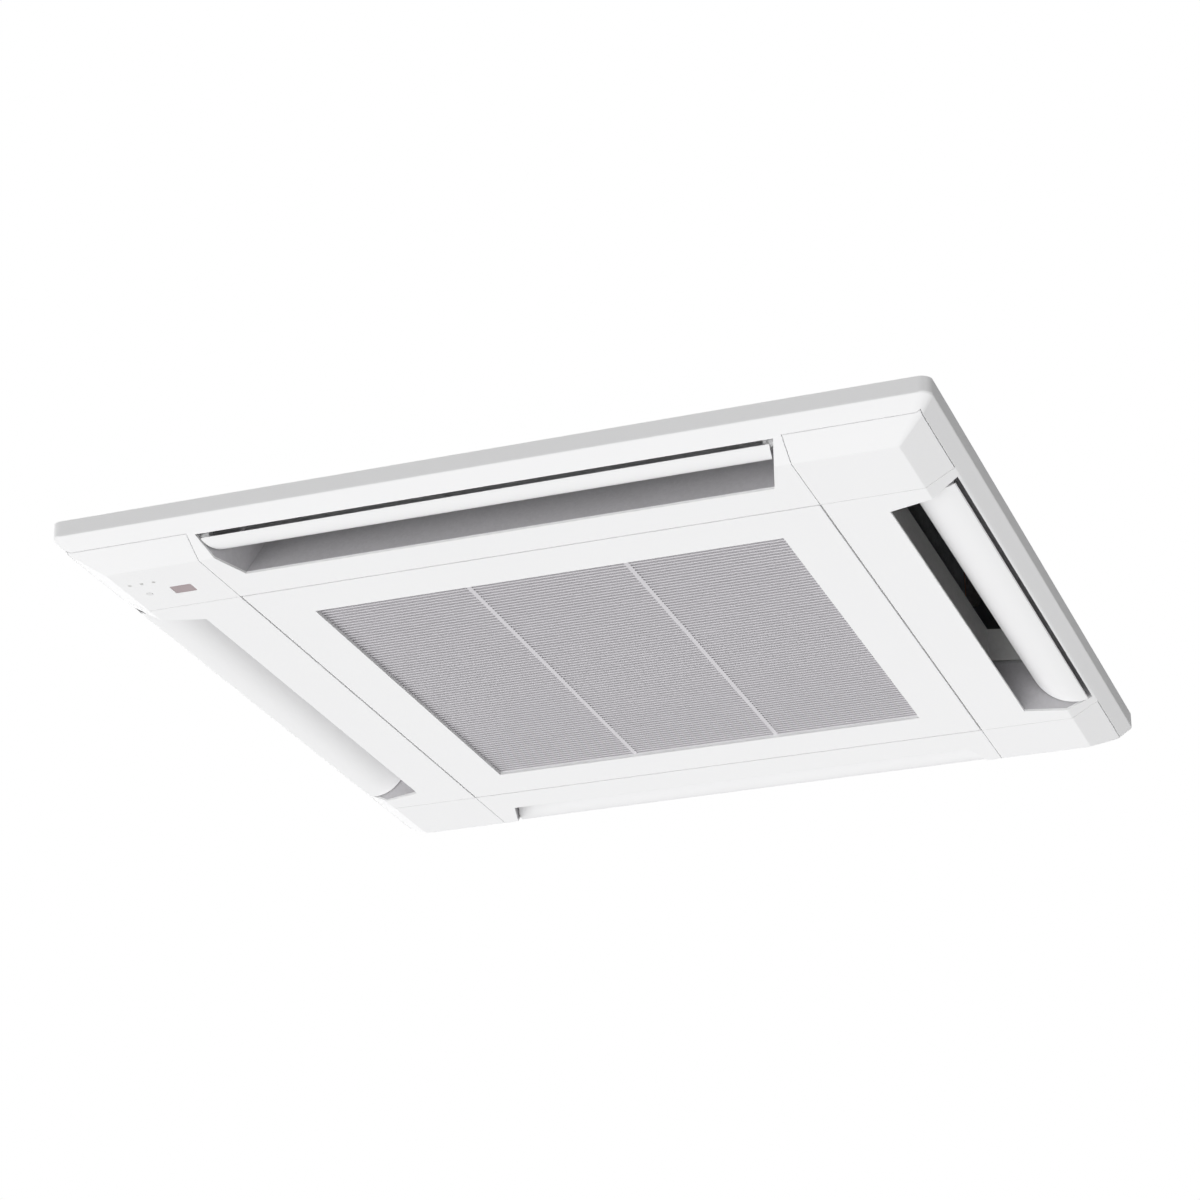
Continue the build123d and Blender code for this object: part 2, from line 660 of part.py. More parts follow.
# ---------------------------------------------------------------- vanes
# Curved blades, one in each outlet, turning on an axis near the rim. A pin runs in a
# bush at one end and a socket takes the motor's shaft at the other. They are drawn
# open, with the inner edge swung up into the duct.
socket_radius = 4.5
vane_pin_length = 14
bush_start = lug_along + bush_setback
vane_outer_reach = vane_pivot_inset - slot_outer_inset - vane_outer_gap
vane_inner_reach = slot_inner_inset - vane_pivot_inset - vane_inner_gap
trim_margin = 4
outer_trim = slot_outer_inset + vane_outer_gap - trim_margin
inner_trim = slot_inner_inset - vane_inner_gap + trim_margin
lug_foot_width = 8
for side, turn in sides.items():
    upright = side_section(turn)
    pivot_spot = upright.from_local_coords((pivot_reach, -vane_pivot_drop, 0))
    swing = radians(vane_opening)
    blade_out = upright.x_dir * cos(swing) - upright.y_dir * sin(swing)
    blade_plane = Plane(origin=pivot_spot, x_dir=blade_out, z_dir=upright.z_dir)
    plan_plane = Plane(origin=pivot_spot, x_dir=blade_plane.z_dir, z_dir=blade_plane.y_dir)
    outer_tip = Vector(vane_outer_reach, -vane_outer_drop)
    inner_tip = Vector(-vane_inner_reach, -vane_inner_drop)
    rise = (outer_tip - inner_tip).normalized().rotate(Axis.Z, 90) * vane_tip_thickness
    back_sagitta = vane_sagitta - vane_mid_thickness + vane_tip_thickness
    trim = [(x, pivot_reach + y) for x, y in slot_outline(outer_trim, inner_trim, -vane_end_gap)]
    with BuildPart() as vane:
        with BuildSketch(blade_plane):
            with BuildLine():
                SagittaArc(inner_tip, outer_tip, -vane_sagitta)
                Line(outer_tip, outer_tip + rise)
                SagittaArc(outer_tip + rise, inner_tip + rise, back_sagitta)
                Line(inner_tip + rise, inner_tip)
            make_face()
        extrude(amount=half, both=True)
        for end in (-1, 1):
            with BuildSketch(blade_plane.offset(-end * lug_along)):
                with BuildLine():
                    SagittaArc(inner_tip, outer_tip, -vane_sagitta)
                    Line(outer_tip, inner_tip)
                make_face()
                Rectangle(lug_foot_width, 4 * vane_sagitta, mode=Mode.INTERSECT)
            extrude(amount=end * vane_lug_thickness)
        with BuildSketch(plan_plane):
            Polygon(*[(x, -y) for x, y in trim])
        extrude(amount=half, both=True, mode=Mode.INTERSECT)
        for end in (-1, 1):
            with BuildSketch(pivot_plane(turn, end * lug_along)):
                Circle(vane_lug_radius)
            extrude(amount=-end * vane_lug_thickness)
        with BuildSketch(pivot_plane(turn, -lug_along)):
            Circle(vane_pin_radius)
        extrude(amount=-vane_pin_length)
        with BuildSketch(pivot_plane(turn, lug_along)):
            Circle(socket_radius)
        extrude(amount=socket_depth)
        with BuildSketch(pivot_plane(turn, lug_along)):
            Circle(motor_shaft_radius + running_gap)
        extrude(amount=socket_depth, mode=Mode.SUBTRACT)
    vane.part.label = f"vane_{side}"
    export_step(vane.part, f"parts/vane_{side}.step")

# Bushes that carry the plain pins.
with BuildPart() as vane_bushes:
    for turn in sides.values():
        with BuildSketch(pivot_plane(turn, -bush_start)):
            Circle(bush_radius)
            Circle(vane_pin_radius + running_gap, mode=Mode.SUBTRACT)
        extrude(amount=-bush_length)
vane_bushes.part.label = "vane_bushes"
export_step(vane_bushes.part, "parts/vane_bushes.step")

# Four small geared motors in the corners, one for each vane, with the shaft off centre.
motor_ear = 9
motor_ear_width = 7
motor_ear_thickness = 1
motor_ear_hole = 1.6
motor_neck = 1.5
shaft_end_gap = 2
connector_width = 14
connector_height = 6
connector_setback = 4
with BuildPart() as vane_motors:
    for turn in sides.values():
        with BuildSketch(pivot_plane(turn, motor_face)):
            with Locations((0, -motor_shaft_offset)):
                Circle(motor_radius)
        extrude(amount=motor_length)
        with BuildSketch(pivot_plane(turn, motor_face)):
            with Locations((-motor_radius, -motor_shaft_offset)):
                SlotOverall(2 * motor_ear, motor_ear_width)
            with Locations((-motor_radius - motor_ear + motor_ear_width / 2, -motor_shaft_offset)):
                Circle(motor_ear_hole, mode=Mode.SUBTRACT)
        extrude(amount=motor_ear_thickness)
        with BuildSketch(pivot_plane(turn, motor_face)):
            Circle(socket_radius)
        extrude(amount=-motor_neck)
        with BuildSketch(pivot_plane(turn, motor_face)):
            Circle(motor_shaft_radius)
        extrude(amount=-(motor_face - lug_along - shaft_end_gap))
        with BuildSketch(pivot_plane(turn, motor_face + connector_setback)):
            with Locations((0, -motor_shaft_offset - motor_radius)):
                Rectangle(connector_width, connector_height)
        extrude(amount=motor_length - 2 * connector_setback)
vane_motors.part.label = "vane_motors"
export_step(vane_motors.part, "parts/vane_motors.step")

# ---------------------------------------------------------------- outlet duct liners
# Moulded foam ducts that lead the air from the cabinet's outlets out to the slots.
cut_past = 6
duct_end_margin = 10
pin_room = 1
duct_points = [
    (half - slot_outer_inset, -panel_drop - cut_past),
    (half - slot_outer_inset, -duct_knee_drop),
    (half - duct_top_outer_inset, collar_top),
    (half - duct_top_outer_inset, collar_top + cut_past),
    (half - duct_top_inner_inset, collar_top + cut_past),
    (half - duct_top_inner_inset, collar_top),
    (half - slot_inner_inset, -panel_drop + skin),
    (half - slot_inner_inset, -panel_drop - cut_past),
]
for side, turn in sides.items():
    with BuildPart() as duct_space:
        with BuildSketch(side_section(turn)):
            Polygon(*duct_points)
        extrude(amount=half, both=True)
        with BuildSketch(side_plan(turn, -half)):
            Polygon(*slot_outline(0, duct_top_inner_inset + duct_end_margin, 0))
        extrude(amount=panel_side, mode=Mode.INTERSECT)
    with BuildPart() as outlet_liner:
        with BuildSketch(side_section(turn)):
            Polygon(*duct_points)
            offset(amount=liner_wall, kind=Kind.INTERSECTION)
        extrude(amount=half, both=True)
        with BuildSketch(side_plan(turn, -half)):
            Polygon(*slot_outline(0, duct_top_inner_inset + duct_end_margin, liner_wall))
        extrude(amount=panel_side, mode=Mode.INTERSECT)
        add(liner_bed, mode=Mode.INTERSECT)
        add(duct_space.part, mode=Mode.SUBTRACT)
        with BuildSketch(pivot_plane(turn, -bush_start)):
            Circle(bush_radius)
        extrude(amount=-bush_length, mode=Mode.SUBTRACT)
        with BuildSketch(pivot_plane(turn, -lug_along)):
            Circle(vane_pin_radius + pin_room)
        extrude(amount=-vane_pin_length - vane_lug_thickness, mode=Mode.SUBTRACT)
        with BuildSketch(pivot_plane(turn, lug_along)):
            Circle(socket_radius + pin_room)
        extrude(amount=2 * socket_depth, mode=Mode.SUBTRACT)
    outlet_liner.part.label = f"outlet_liner_{side}"
    export_step(outlet_liner.part, f"parts/outlet_liner_{side}.step")

# ---------------------------------------------------------------- panel seal and screws
# Soft foam gasket between the panel's ducts and the cabinet, and the four long screws
# that pull the panel up to the cabinet through the corner gussets.
seal_setback = 1
with BuildPart() as panel_seal:
    with BuildSketch(Plane.XY.offset(collar_top)):
        Polygon(*octagon(foam_wall + sheet + seal_setback))
        Rectangle(2 * opening_x, 2 * opening_y, mode=Mode.SUBTRACT)
        with GridLocations(2 * panel_screw_at, 2 * panel_screw_at, 2, 2):
            Circle(boss_radius + seal_setback, mode=Mode.SUBTRACT)
    extrude(amount=seal_thickness)
    for turn in sides.values():
        with BuildSketch(side_plan(turn, collar_top)):
            Polygon(*slot_outline(duct_top_outer_inset, duct_top_inner_inset, 0))
        extrude(amount=seal_thickness, mode=Mode.SUBTRACT)
panel_seal.part.label = "panel_seal"
export_step(panel_seal.part, "parts/panel_seal.step")

screw_head_radius = 6
screw_head_height = 3.5
cross_length = 7
cross_width = 1.6
cross_depth = 2
screw_reach = 6
screw_tip = cabinet_bottom + screw_reach
with BuildPart() as panel_screws:
    with BuildSketch(Plane.XY.offset(gusset_top - gusset_thickness - screw_head_height)):
        with GridLocations(2 * panel_screw_at, 2 * panel_screw_at, 2, 2):
            Circle(screw_head_radius)
            Rectangle(cross_length, cross_width, mode=Mode.SUBTRACT)
            Rectangle(cross_width, cross_length, mode=Mode.SUBTRACT)
    extrude(amount=cross_depth)
    with BuildSketch(Plane.XY.offset(gusset_top - gusset_thickness - screw_head_height + cross_depth)):
        with GridLocations(2 * panel_screw_at, 2 * panel_screw_at, 2, 2):
            Circle(screw_head_radius)
    extrude(amount=screw_head_height - cross_depth)
    with BuildSketch(Plane.XY.offset(gusset_top - gusset_thickness)):
        with GridLocations(2 * panel_screw_at, 2 * panel_screw_at, 2, 2):
            Circle(panel_screw_radius)
    extrude(amount=screw_tip - gusset_top + gusset_thickness)
panel_screws.part.label = "panel_screws"
export_step(panel_screws.part, "parts/panel_screws.step")

# ---------------------------------------------------------------- casing
# Folded galvanised casing, open below. Four side plates and four corner plates stand
# on a turned-in flange; the corner plates wrap the chamfers and carry the tabs for the
# panel screws.
seam_setback = 7
side_plate_half = cabinet_half - cabinet_chamfer - seam_setback
wall_height = cabinet_height - sheet
tab_depth = 27
tab_width = 60
tab_centre = cabinet_half - cabinet_chamfer / 2 - tab_depth / 2 / sqrt(2)
knockout_radius = 50
knockout_width = 3
knockout_raise = 1.0
knockout_y = -90
port_gap = 1.5
coil_outer = half - duct_top_inner_inset - pan_wall - coil_pan_gap
pipe_x_gas = coil_outer - coil_thickness / 2 - tube_column_pitch / 2
pipe_x_liquid = pipe_x_gas + tube_column_pitch
pipe_z_gas = cabinet_bottom + gas_pipe_height
pipe_z_liquid = cabinet_bottom + liquid_pipe_height
sump_inset = 78
sump_at = cabinet_half - sump_inset
drain_offset = 97
drain_height = 75
drain_x = sump_at - drain_offset
drain_z = cabinet_bottom + drain_height
drain_radius = 16
cable_y = 150
cable_height = 65
cable_z = cabinet_bottom + cable_height
cable_hole_radius = 14
wall_middle_z = cabinet_bottom + cabinet_height / 2
with BuildPart() as pipe_ports:
    with BuildSketch(Plane.XZ.offset(-cabinet_half - sheet)):
        with Locations((pipe_x_gas, pipe_z_gas)):
            Circle(gas_pipe_radius + port_gap)
        with Locations((pipe_x_liquid, pipe_z_liquid)):
            Circle(liquid_pipe_radius + port_gap)
        with Locations((drain_x, drain_z)):
            Circle(drain_radius + port_gap)
    extrude(amount=2 * (sheet + foam_wall))
    with BuildSketch(Plane.YZ.offset(-cabinet_half - sheet)):
        with Locations((cable_y, cable_z)):
            Circle(cable_hole_radius)
    extrude(amount=2 * (sheet + foam_wall))
with BuildPart() as casing_wall:
    with BuildSketch(Plane.XY.offset(cabinet_bottom)):
        Polygon(*octagon(0))
        Polygon(*octagon(sheet), mode=Mode.SUBTRACT)
    extrude(amount=wall_height)
    with BuildSketch(Plane.XY.offset(cabinet_bottom)):
        Polygon(*octagon(sheet / 2))
        Polygon(*octagon(flange_width), mode=Mode.SUBTRACT)
    extrude(amount=sheet)
    add(pipe_ports.part, mode=Mode.SUBTRACT)
with BuildPart() as side_stretch:
    with BuildSketch(Plane.XY.offset(cabinet_bottom)):
        Rectangle(2 * cabinet_half, 2 * side_plate_half)
        Rectangle(2 * side_plate_half, 2 * cabinet_half)
    extrude(amount=wall_height)

with BuildPart() as casing_sides:
    add(casing_wall.part)
    add(side_stretch.part, mode=Mode.INTERSECT)
    with BuildSketch(Plane.YZ.offset(-cabinet_half)):
        with Locations((knockout_y, wall_middle_z)):
            Circle(knockout_radius)
            Circle(knockout_radius - knockout_width, mode=Mode.SUBTRACT)
    extrude(amount=-knockout_raise)
casing_sides.part.label = "casing_sides"
export_step(casing_sides.part, "parts/casing_sides.step")

with BuildPart() as casing_corners:
    add(casing_wall.part)
    add(side_stretch.part, mode=Mode.SUBTRACT)
    for sign_x, sign_y in corners.values():
        tab_spot = (sign_x * tab_centre, sign_y * tab_centre, 0)
        with BuildSketch(Plane.XY.offset(cabinet_bottom)):
            with Locations(Location(tab_spot, (0, 0, -45 * sign_x * sign_y))):
                Rectangle(tab_width, tab_depth)
        extrude(amount=sheet)
    with BuildSketch(Plane.XY.offset(cabinet_bottom)):
        with GridLocations(2 * panel_screw_at, 2 * panel_screw_at, 2, 2):
            Circle(panel_screw_radius)
    extrude(amount=sheet, mode=Mode.SUBTRACT)
casing_corners.part.label = "casing_corners"
export_step(casing_corners.part, "parts/casing_corners.step")

# Roof plate with two raised stiffening beads.
bead_height = 2.5
bead_width = 14
bead_insets = (240, 120)
bead_corner = 60
with BuildPart() as casing_roof:
    with BuildSketch(Plane.XY.offset(cabinet_top - sheet)):
        Polygon(*octagon(0))
    extrude(amount=sheet)
    for bead_inset in bead_insets:
        reach = 2 * (cabinet_half - bead_inset)
        with BuildSketch(Plane.XY.offset(cabinet_top)):
            RectangleRounded(reach + bead_width, reach + bead_width, bead_corner + bead_width)
            RectangleRounded(reach - bead_width, reach - bead_width, bead_corner, mode=Mode.SUBTRACT)
        extrude(amount=bead_height)
casing_roof.part.label = "casing_roof"
export_step(casing_roof.part, "parts/casing_roof.step")

# Hanging lugs: an angle on each chamfered corner with a hole for the hanging bolt.
lug_plate_height = 70
lug_plate_width = 64
lug_arm_width = 44
lug_bolt_spacing = 40
lug_bolt_rise = 10
lug_bolt_drop = 22
lug_bolt_radius = 2.6
lug_tip = 18
chamfer_reach = (2 * cabinet_half - cabinet_chamfer) / sqrt(2)
bolt_reach = (cabinet_half - hanger_inset) * sqrt(2)
arm_end = bolt_reach + lug_tip
hanger_z = cabinet_bottom + hanger_height
with BuildPart() as hanger_brackets:
    for turn in (45, 135, 225, 315):
        angle = radians(turn)
        outward = Vector(cos(angle), sin(angle), 0)
        sideways = Vector(-sin(angle), cos(angle), 0)
        with BuildSketch(Plane(origin=outward * chamfer_reach, x_dir=sideways, z_dir=outward)):
            with Locations((0, hanger_z - lug_plate_height / 2 + hanger_sheet)):
                Rectangle(lug_plate_width, lug_plate_height)
                with Locations((0, (lug_bolt_rise - lug_bolt_drop) / 2)):
                    with GridLocations(lug_bolt_spacing, lug_bolt_rise + lug_bolt_drop, 2, 2):
                        Circle(lug_bolt_radius, mode=Mode.SUBTRACT)
        extrude(amount=hanger_sheet)
        with BuildSketch(Plane(origin=(0, 0, hanger_z), x_dir=outward, z_dir=(0, 0, 1))):
            with Locations(((chamfer_reach + arm_end) / 2, 0)):
                Rectangle(arm_end - chamfer_reach, lug_arm_width)
            with Locations((bolt_reach, 0)):
                Circle(hanger_hole_radius, mode=Mode.SUBTRACT)
        extrude(amount=hanger_sheet)
hanger_brackets.part.label = "hanger_brackets"
export_step(hanger_brackets.part, "parts/hanger_brackets.step")

# ---------------------------------------------------------------- insulation
# Foam lining inside the casing's walls and roof, with openings for pipes and motor.
mount_at = fan_motor_radius + 1
mount_round = 12
mount_hole_margin = 11.2
mount_hole_radius = mount_at * sqrt(2) + mount_round + mount_hole_margin
screw_room = 2
screw_tip_room = 3
foam_top = cabinet_top - sheet
foam_inset = sheet + foam_wall
pan_bottom = cabinet_bottom + sheet
with BuildPart() as foam_liner:
    with BuildSketch(Plane.XY.offset(pan_bottom)):
        Polygon(*octagon(sheet))
    extrude(amount=foam_top - pan_bottom)
    with BuildSketch(Plane.XY.offset(pan_bottom)):
        Polygon(*octagon(foam_inset))
    extrude(amount=foam_top - foam_roof - pan_bottom, mode=Mode.SUBTRACT)
    with BuildSketch(Plane.XY.offset(foam_top - foam_roof)):
        Circle(mount_hole_radius)
    extrude(amount=foam_roof, mode=Mode.SUBTRACT)
    with BuildSketch(Plane.XY.offset(pan_bottom)):
        with GridLocations(2 * panel_screw_at, 2 * panel_screw_at, 2, 2):
            Circle(panel_screw_radius + screw_room)
    extrude(amount=screw_tip + screw_tip_room - pan_bottom, mode=Mode.SUBTRACT)
    add(pipe_ports.part, mode=Mode.SUBTRACT)
foam_liner.part.label = "foam_liner"
export_step(foam_liner.part, "parts/foam_liner.step")

# ---------------------------------------------------------------- drain pan
# Moulded foam pan under the coil: a trough round the bell mouth, four air outlets and
# a sump for the pump in the back right corner.
coil_inner = coil_outer - coil_thickness
fan_radius = coil_inner - fan_coil_gap
pan_port_radius = fan_radius + port_clearance
port_wall_outer = pan_port_radius + pan_wall
trough_half = half - duct_top_inner_inset - pan_wall
trough_floor = pan_bottom + pan_base
pan_top = pan_bottom + pan_height
sump_radius = 26
sump_base = 6
coil_rest_at = 170
coil_rest_width = 8
pan_side_gap = 0.2
sump_floor = pan_bottom + sump_base
with BuildPart() as drain_pan:
    with BuildSketch(Plane.XY.offset(pan_bottom)):
        Polygon(*octagon(foam_inset + pan_side_gap))
    extrude(amount=pan_top - pan_bottom)
    with BuildSketch(Plane.XY.offset(trough_floor)):
        RectangleRounded(2 * trough_half, 2 * trough_half, coil_corner)
        Circle(port_wall_outer, mode=Mode.SUBTRACT)
    extrude(amount=pan_top - trough_floor, mode=Mode.SUBTRACT)
    with BuildSketch(Plane.XY.offset(trough_floor)):
        with Locations((-coil_rest_at, 0), (coil_rest_at, 0)):
            Rectangle(coil_rest_width, 2 * coil_outer)
        with Locations((0, -coil_rest_at), (0, coil_rest_at)):
            Rectangle(2 * coil_outer, coil_rest_width)
    extrude(amount=coil_bottom_gap)
    with BuildSketch(Plane.XY.offset(pan_bottom)):
        Circle(pan_port_radius)
    extrude(amount=pan_top - pan_bottom, mode=Mode.SUBTRACT)
    for turn in sides.values():
        with BuildSketch(side_plan(turn, pan_bottom)):
            Polygon(*slot_outline(duct_top_outer_inset, duct_top_inner_inset, 0))
        extrude(amount=pan_top - pan_bottom, mode=Mode.SUBTRACT)
    with BuildSketch(Plane.XY.offset(sump_floor)):
        with Locations((sump_at, sump_at)):
            Circle(sump_radius)
        with Locations((sump_at - sump_radius, sump_at - sump_radius)):
            Rectangle(2 * sump_radius, 2 * sump_radius)
    extrude(amount=pan_top - sump_floor, mode=Mode.SUBTRACT)
    with BuildSketch(Plane.XY.offset(pan_bottom)):
        with GridLocations(2 * panel_screw_at, 2 * panel_screw_at, 2, 2):
            Circle(panel_screw_radius + screw_room)
    extrude(amount=screw_tip + screw_tip_room - pan_bottom, mode=Mode.SUBTRACT)
drain_pan.part.label = "drain_pan"
export_step(drain_pan.part, "parts/drain_pan.step")

# ---------------------------------------------------------------- heat exchanger
# Finned coil bent into a ring round the fan, with an opening at the back right corner.
# A thin web joins the upright fins where the rows of tubes run through them.
coil_base = trough_floor + coil_bottom_gap
coil_top_gap = 1.0
coil_height = foam_top - foam_roof - coil_top_gap - coil_base
coil_end = coil_outer - coil_corner
tube_middle = coil_outer - coil_thickness / 2
tube_columns = (tube_middle - tube_column_pitch / 2, tube_middle + tube_column_pitch / 2)
row_pitch = coil_height / coil_rows
end_plate = 2
fin_thickness = 0.8
fin_pitch = 12
web_thickness = 1.2
corner_middle = coil_corner - coil_thickness / 2
side_fins = int(2 * coil_end / fin_pitch)
corner_fins = 11
with BuildPart() as coil_fins:
    with BuildSketch(Plane.XY.offset(coil_base)):
        outer_line = tube_middle + web_thickness / 2
        inner_line = tube_middle - web_thickness / 2
        outer_bend = corner_middle + web_thickness / 2
        inner_bend = corner_middle - web_thickness / 2
        RectangleRounded(2 * outer_line, 2 * outer_line, outer_bend)
        RectangleRounded(2 * inner_line, 2 * inner_line, inner_bend, mode=Mode.SUBTRACT)
        for turn in sides.values():
            with PolarLocations(tube_middle, 1, start_angle=turn - 90):
                with GridLocations(1, fin_pitch, 1, side_fins):
                    Rectangle(coil_thickness, fin_thickness)
        for (sign_x, sign_y), start in {(-1, 1): 90, (-1, -1): 180, (1, -1): 270}.items():
            with Locations((sign_x * coil_end, sign_y * coil_end)):
                first = start + 45 / corner_fins
                with PolarLocations(corner_middle, corner_fins, first, 90, endpoint=False):
                    Rectangle(coil_thickness, fin_thickness)
        with Locations((coil_outer, coil_outer)):
            Rectangle(2 * (coil_outer - coil_end), 2 * (coil_outer - coil_end), mode=Mode.SUBTRACT)
    extrude(amount=coil_height)
coil_fins.part.label = "coil_fins"
export_step(coil_fins.part, "parts/coil_fins.step")

# Flanged end plates that close the two ends of the coil and carry its tubes.
with BuildPart() as coil_end_plates:
    with BuildSketch(Plane.XZ.offset(-coil_end)):
        with Locations((tube_middle, coil_base + coil_height / 2)):
            Rectangle(coil_thickness, coil_height)
            with GridLocations(tube_column_pitch, row_pitch, 2, coil_rows):
                Circle(tube_radius + running_gap, mode=Mode.SUBTRACT)
    extrude(amount=-end_plate)
    with BuildSketch(Plane.YZ.offset(coil_end)):
        with Locations((tube_middle, coil_base + coil_height / 2)):
            Rectangle(coil_thickness, coil_height)
            with GridLocations(tube_column_pitch, row_pitch, 2, coil_rows):
                Circle(tube_radius + running_gap, mode=Mode.SUBTRACT)
    extrude(amount=end_plate)
coil_end_plates.part.label = "coil_end_plates"
export_step(coil_end_plates.part, "parts/coil_end_plates.step")

# Return bends: in each row the outer tube turns back into the inner one.
row_heights = [coil_base + (row + 0.5) * row_pitch for row in range(coil_rows)]
with BuildPart() as coil_return_bends:
    for height in row_heights:
        with BuildSketch(Plane.YZ.offset(coil_end)):
            with Locations((tube_columns[0], height), (tube_columns[1], height)):
                Circle(tube_radius)
        extrude(amount=end_plate)
        with BuildSketch(Plane.YZ.offset(coil_end + end_plate)):
            with Locations((tube_columns[1], height)):
                Circle(tube_radius)
        bend_axis = Axis((coil_end + end_plate, tube_middle, height), (0, 0, 1))
        revolve(axis=bend_axis, revolution_arc=-180)
coil_return_bends.part.label = "coil_return_bends"
export_step(coil_return_bends.part, "parts/coil_return_bends.step")

# Copper lines: an upright header joined to one column of tubes, with the connecting
# pipe brazed into it and led out through the casing's back wall.
header_y = coil_end + 20
header_margin = 9
pipe_wall = 1
pipe_end = cabinet_half + 32
lines = {
    "gas": (tube_columns[0], 9, gas_pipe_radius, pipe_z_gas),
    "liquid": (tube_columns[1], 6, liquid_pipe_radius, pipe_z_liquid),
}
for line, (line_x, header_radius, pipe_radius, pipe_z) in lines.items():
    with BuildPart() as copper_line:
        with BuildSketch(Plane.XY.offset(row_heights[0] - header_margin)):
            with Locations((line_x, header_y)):
                Circle(header_radius)
        extrude(amount=row_heights[-1] - row_heights[0] + 2 * header_margin)
        with BuildSketch(Plane.XZ.offset(-coil_end)):
            for height in row_heights:
                with Locations((line_x, height)):
                    Circle(tube_radius)
        extrude(amount=coil_end - header_y)
        with BuildSketch(Plane.XZ.offset(-header_y)):
            with Locations((line_x, pipe_z)):
                Circle(pipe_radius)
        extrude(amount=header_y - pipe_end)
        with BuildSketch(Plane.XZ.offset(-pipe_end)):
            with Locations((line_x, pipe_z)):
                Circle(pipe_radius - pipe_wall)
        extrude(amount=pipe_end - header_y, mode=Mode.SUBTRACT)
    copper_line.part.label = f"{line}_pipe"
    export_step(copper_line.part, f"parts/{line}_pipe.step")

# Brass flare unions brazed on the pipe ends, each with a hexagon, a male thread and a
# bevelled nose, and the hexagonal flare nuts screwed on them. The field pipe enters
# the nut's mouth. Each fitting gives the half widths across flats of nut and union,
# the thread's radius and the nut's length.
fittings = (
    (tube_columns[0], pipe_z_gas, gas_pipe_radius, 14.5, 12, 11.1, 26),
    (tube_columns[1], pipe_z_liquid, liquid_pipe_radius, 11, 9.5, 7.94, 22),
)
union_lap = 6
union_hex = 10
nose_bevel = 2
nose_gap = 1
nut_gap = 2
thread_gap = 0.1
mouth_length = 7
mouth_gap = 0.2
nut_neck_wall = 3
union_start = pipe_end - union_lap
nut_start = union_start + union_hex + nut_gap
with BuildPart() as flare_unions:
    for line_x, pipe_z, pipe_radius, nut_half, union_half, thread_radius, nut_length in fittings:
        cone_length = thread_radius - pipe_radius
        stub_end = nut_start + nut_length - mouth_length - cone_length - nose_gap
        with BuildSketch(Plane.XZ.offset(-union_start)):
            with Locations((line_x, pipe_z)):
                RegularPolygon(union_half, 6, major_radius=False)
        extrude(amount=-union_hex)
        run = Plane(origin=(line_x, 0, pipe_z), x_dir=(0, 1, 0), z_dir=(1, 0, 0))
        with BuildSketch(run):
            Polygon(
                (union_start + 1, 0),
                (union_start + 1, thread_radius),
                (stub_end - nose_bevel, thread_radius),
                (stub_end, thread_radius - nose_bevel),
                (stub_end, 0),
                align=None,
            )
        revolve(axis=Axis((line_x, 0, pipe_z), (0, 1, 0)))
        with BuildSketch(run):
            Polygon(
                (union_start, 0),
                (union_start, pipe_radius),
                (pipe_end, pipe_radius),
                (pipe_end, pipe_radius - pipe_wall),
                (stub_end, pipe_radius - pipe_wall),
                (stub_end, 0),
                align=None,
            )
        revolve(axis=Axis((line_x, 0, pipe_z), (0, 1, 0)), mode=Mode.SUBTRACT)
flare_unions.part.label = "flare_unions"
export_step(flare_unions.part, "parts/flare_unions.step")

with BuildPart() as flare_nuts:
    for line_x, pipe_z, pipe_radius, nut_half, union_half, thread_radius, nut_length in fittings:
        nut_end = nut_start + nut_length
        cone_length = thread_radius - pipe_radius
        with BuildSketch(Plane.XZ.offset(-nut_start)):
            with Locations((line_x, pipe_z)):
                RegularPolygon(nut_half, 6, major_radius=False)
        extrude(amount=mouth_length - nut_length)
        run = Plane(origin=(line_x, 0, pipe_z), x_dir=(0, 1, 0), z_dir=(1, 0, 0))
        with BuildSketch(run):
            Polygon(
                (nut_end - mouth_length - 1, 0),
                (nut_end - mouth_length - 1, nut_half - 1),
                (nut_end - mouth_length, nut_half - 1),
                (nut_end, pipe_radius + nut_neck_wall),
                (nut_end, 0),
                align=None,
            )
        revolve(axis=Axis((line_x, 0, pipe_z), (0, 1, 0)))
        with BuildSketch(run):
            Polygon(
                (nut_start, 0),
                (nut_start, thread_radius + thread_gap),
                (nut_end - mouth_length - cone_length, thread_radius + thread_gap),
                (nut_end - mouth_length, pipe_radius + mouth_gap),
                (nut_end, pipe_radius + mouth_gap),
                (nut_end, 0),
                align=None,
            )
        revolve(axis=Axis((line_x, 0, pipe_z), (0, 1, 0)), mode=Mode.SUBTRACT)
flare_nuts.part.label = "flare_nuts"
export_step(flare_nuts.part, "parts/flare_nuts.step")

# ---------------------------------------------------------------- fan
# Bell mouth: a moulded ring under the pan that curves up into the fan's eye.
bell_skin = 2.2
bell_lap = 6
bell_flange = pan_port_radius + 19
bell_brim = pan_port_radius - 16
fan_eye_radius = fan_radius - fan_eye_step
bell_radius = fan_eye_radius - bell_gap
bell_base = pan_bottom - bell_skin
bell_top = pan_top + bell_lap
outer_sweep = bell_brim - bell_radius
inner_sweep = outer_sweep - bell_skin
bell_rise = bell_top - bell_base
with BuildPart() as bell_mouth:
    with BuildSketch(Plane.XZ):
        with BuildLine():
            Line((bell_flange, bell_base), (bell_brim, bell_base))
            EllipticalCenterArc((bell_brim, bell_top), outer_sweep, bell_rise, 180, arc_size=90)
            Line((bell_radius, bell_top), (bell_radius + bell_skin, bell_top))
            EllipticalCenterArc((bell_brim, bell_top), inner_sweep, bell_top - pan_bottom, 180, arc_size=90)
            Line((bell_brim, pan_bottom), (bell_flange, pan_bottom))
            Line((bell_flange, pan_bottom), (bell_flange, bell_base))
        make_face()
    revolve(axis=Axis.Z)
bell_mouth.part.label = "bell_mouth"
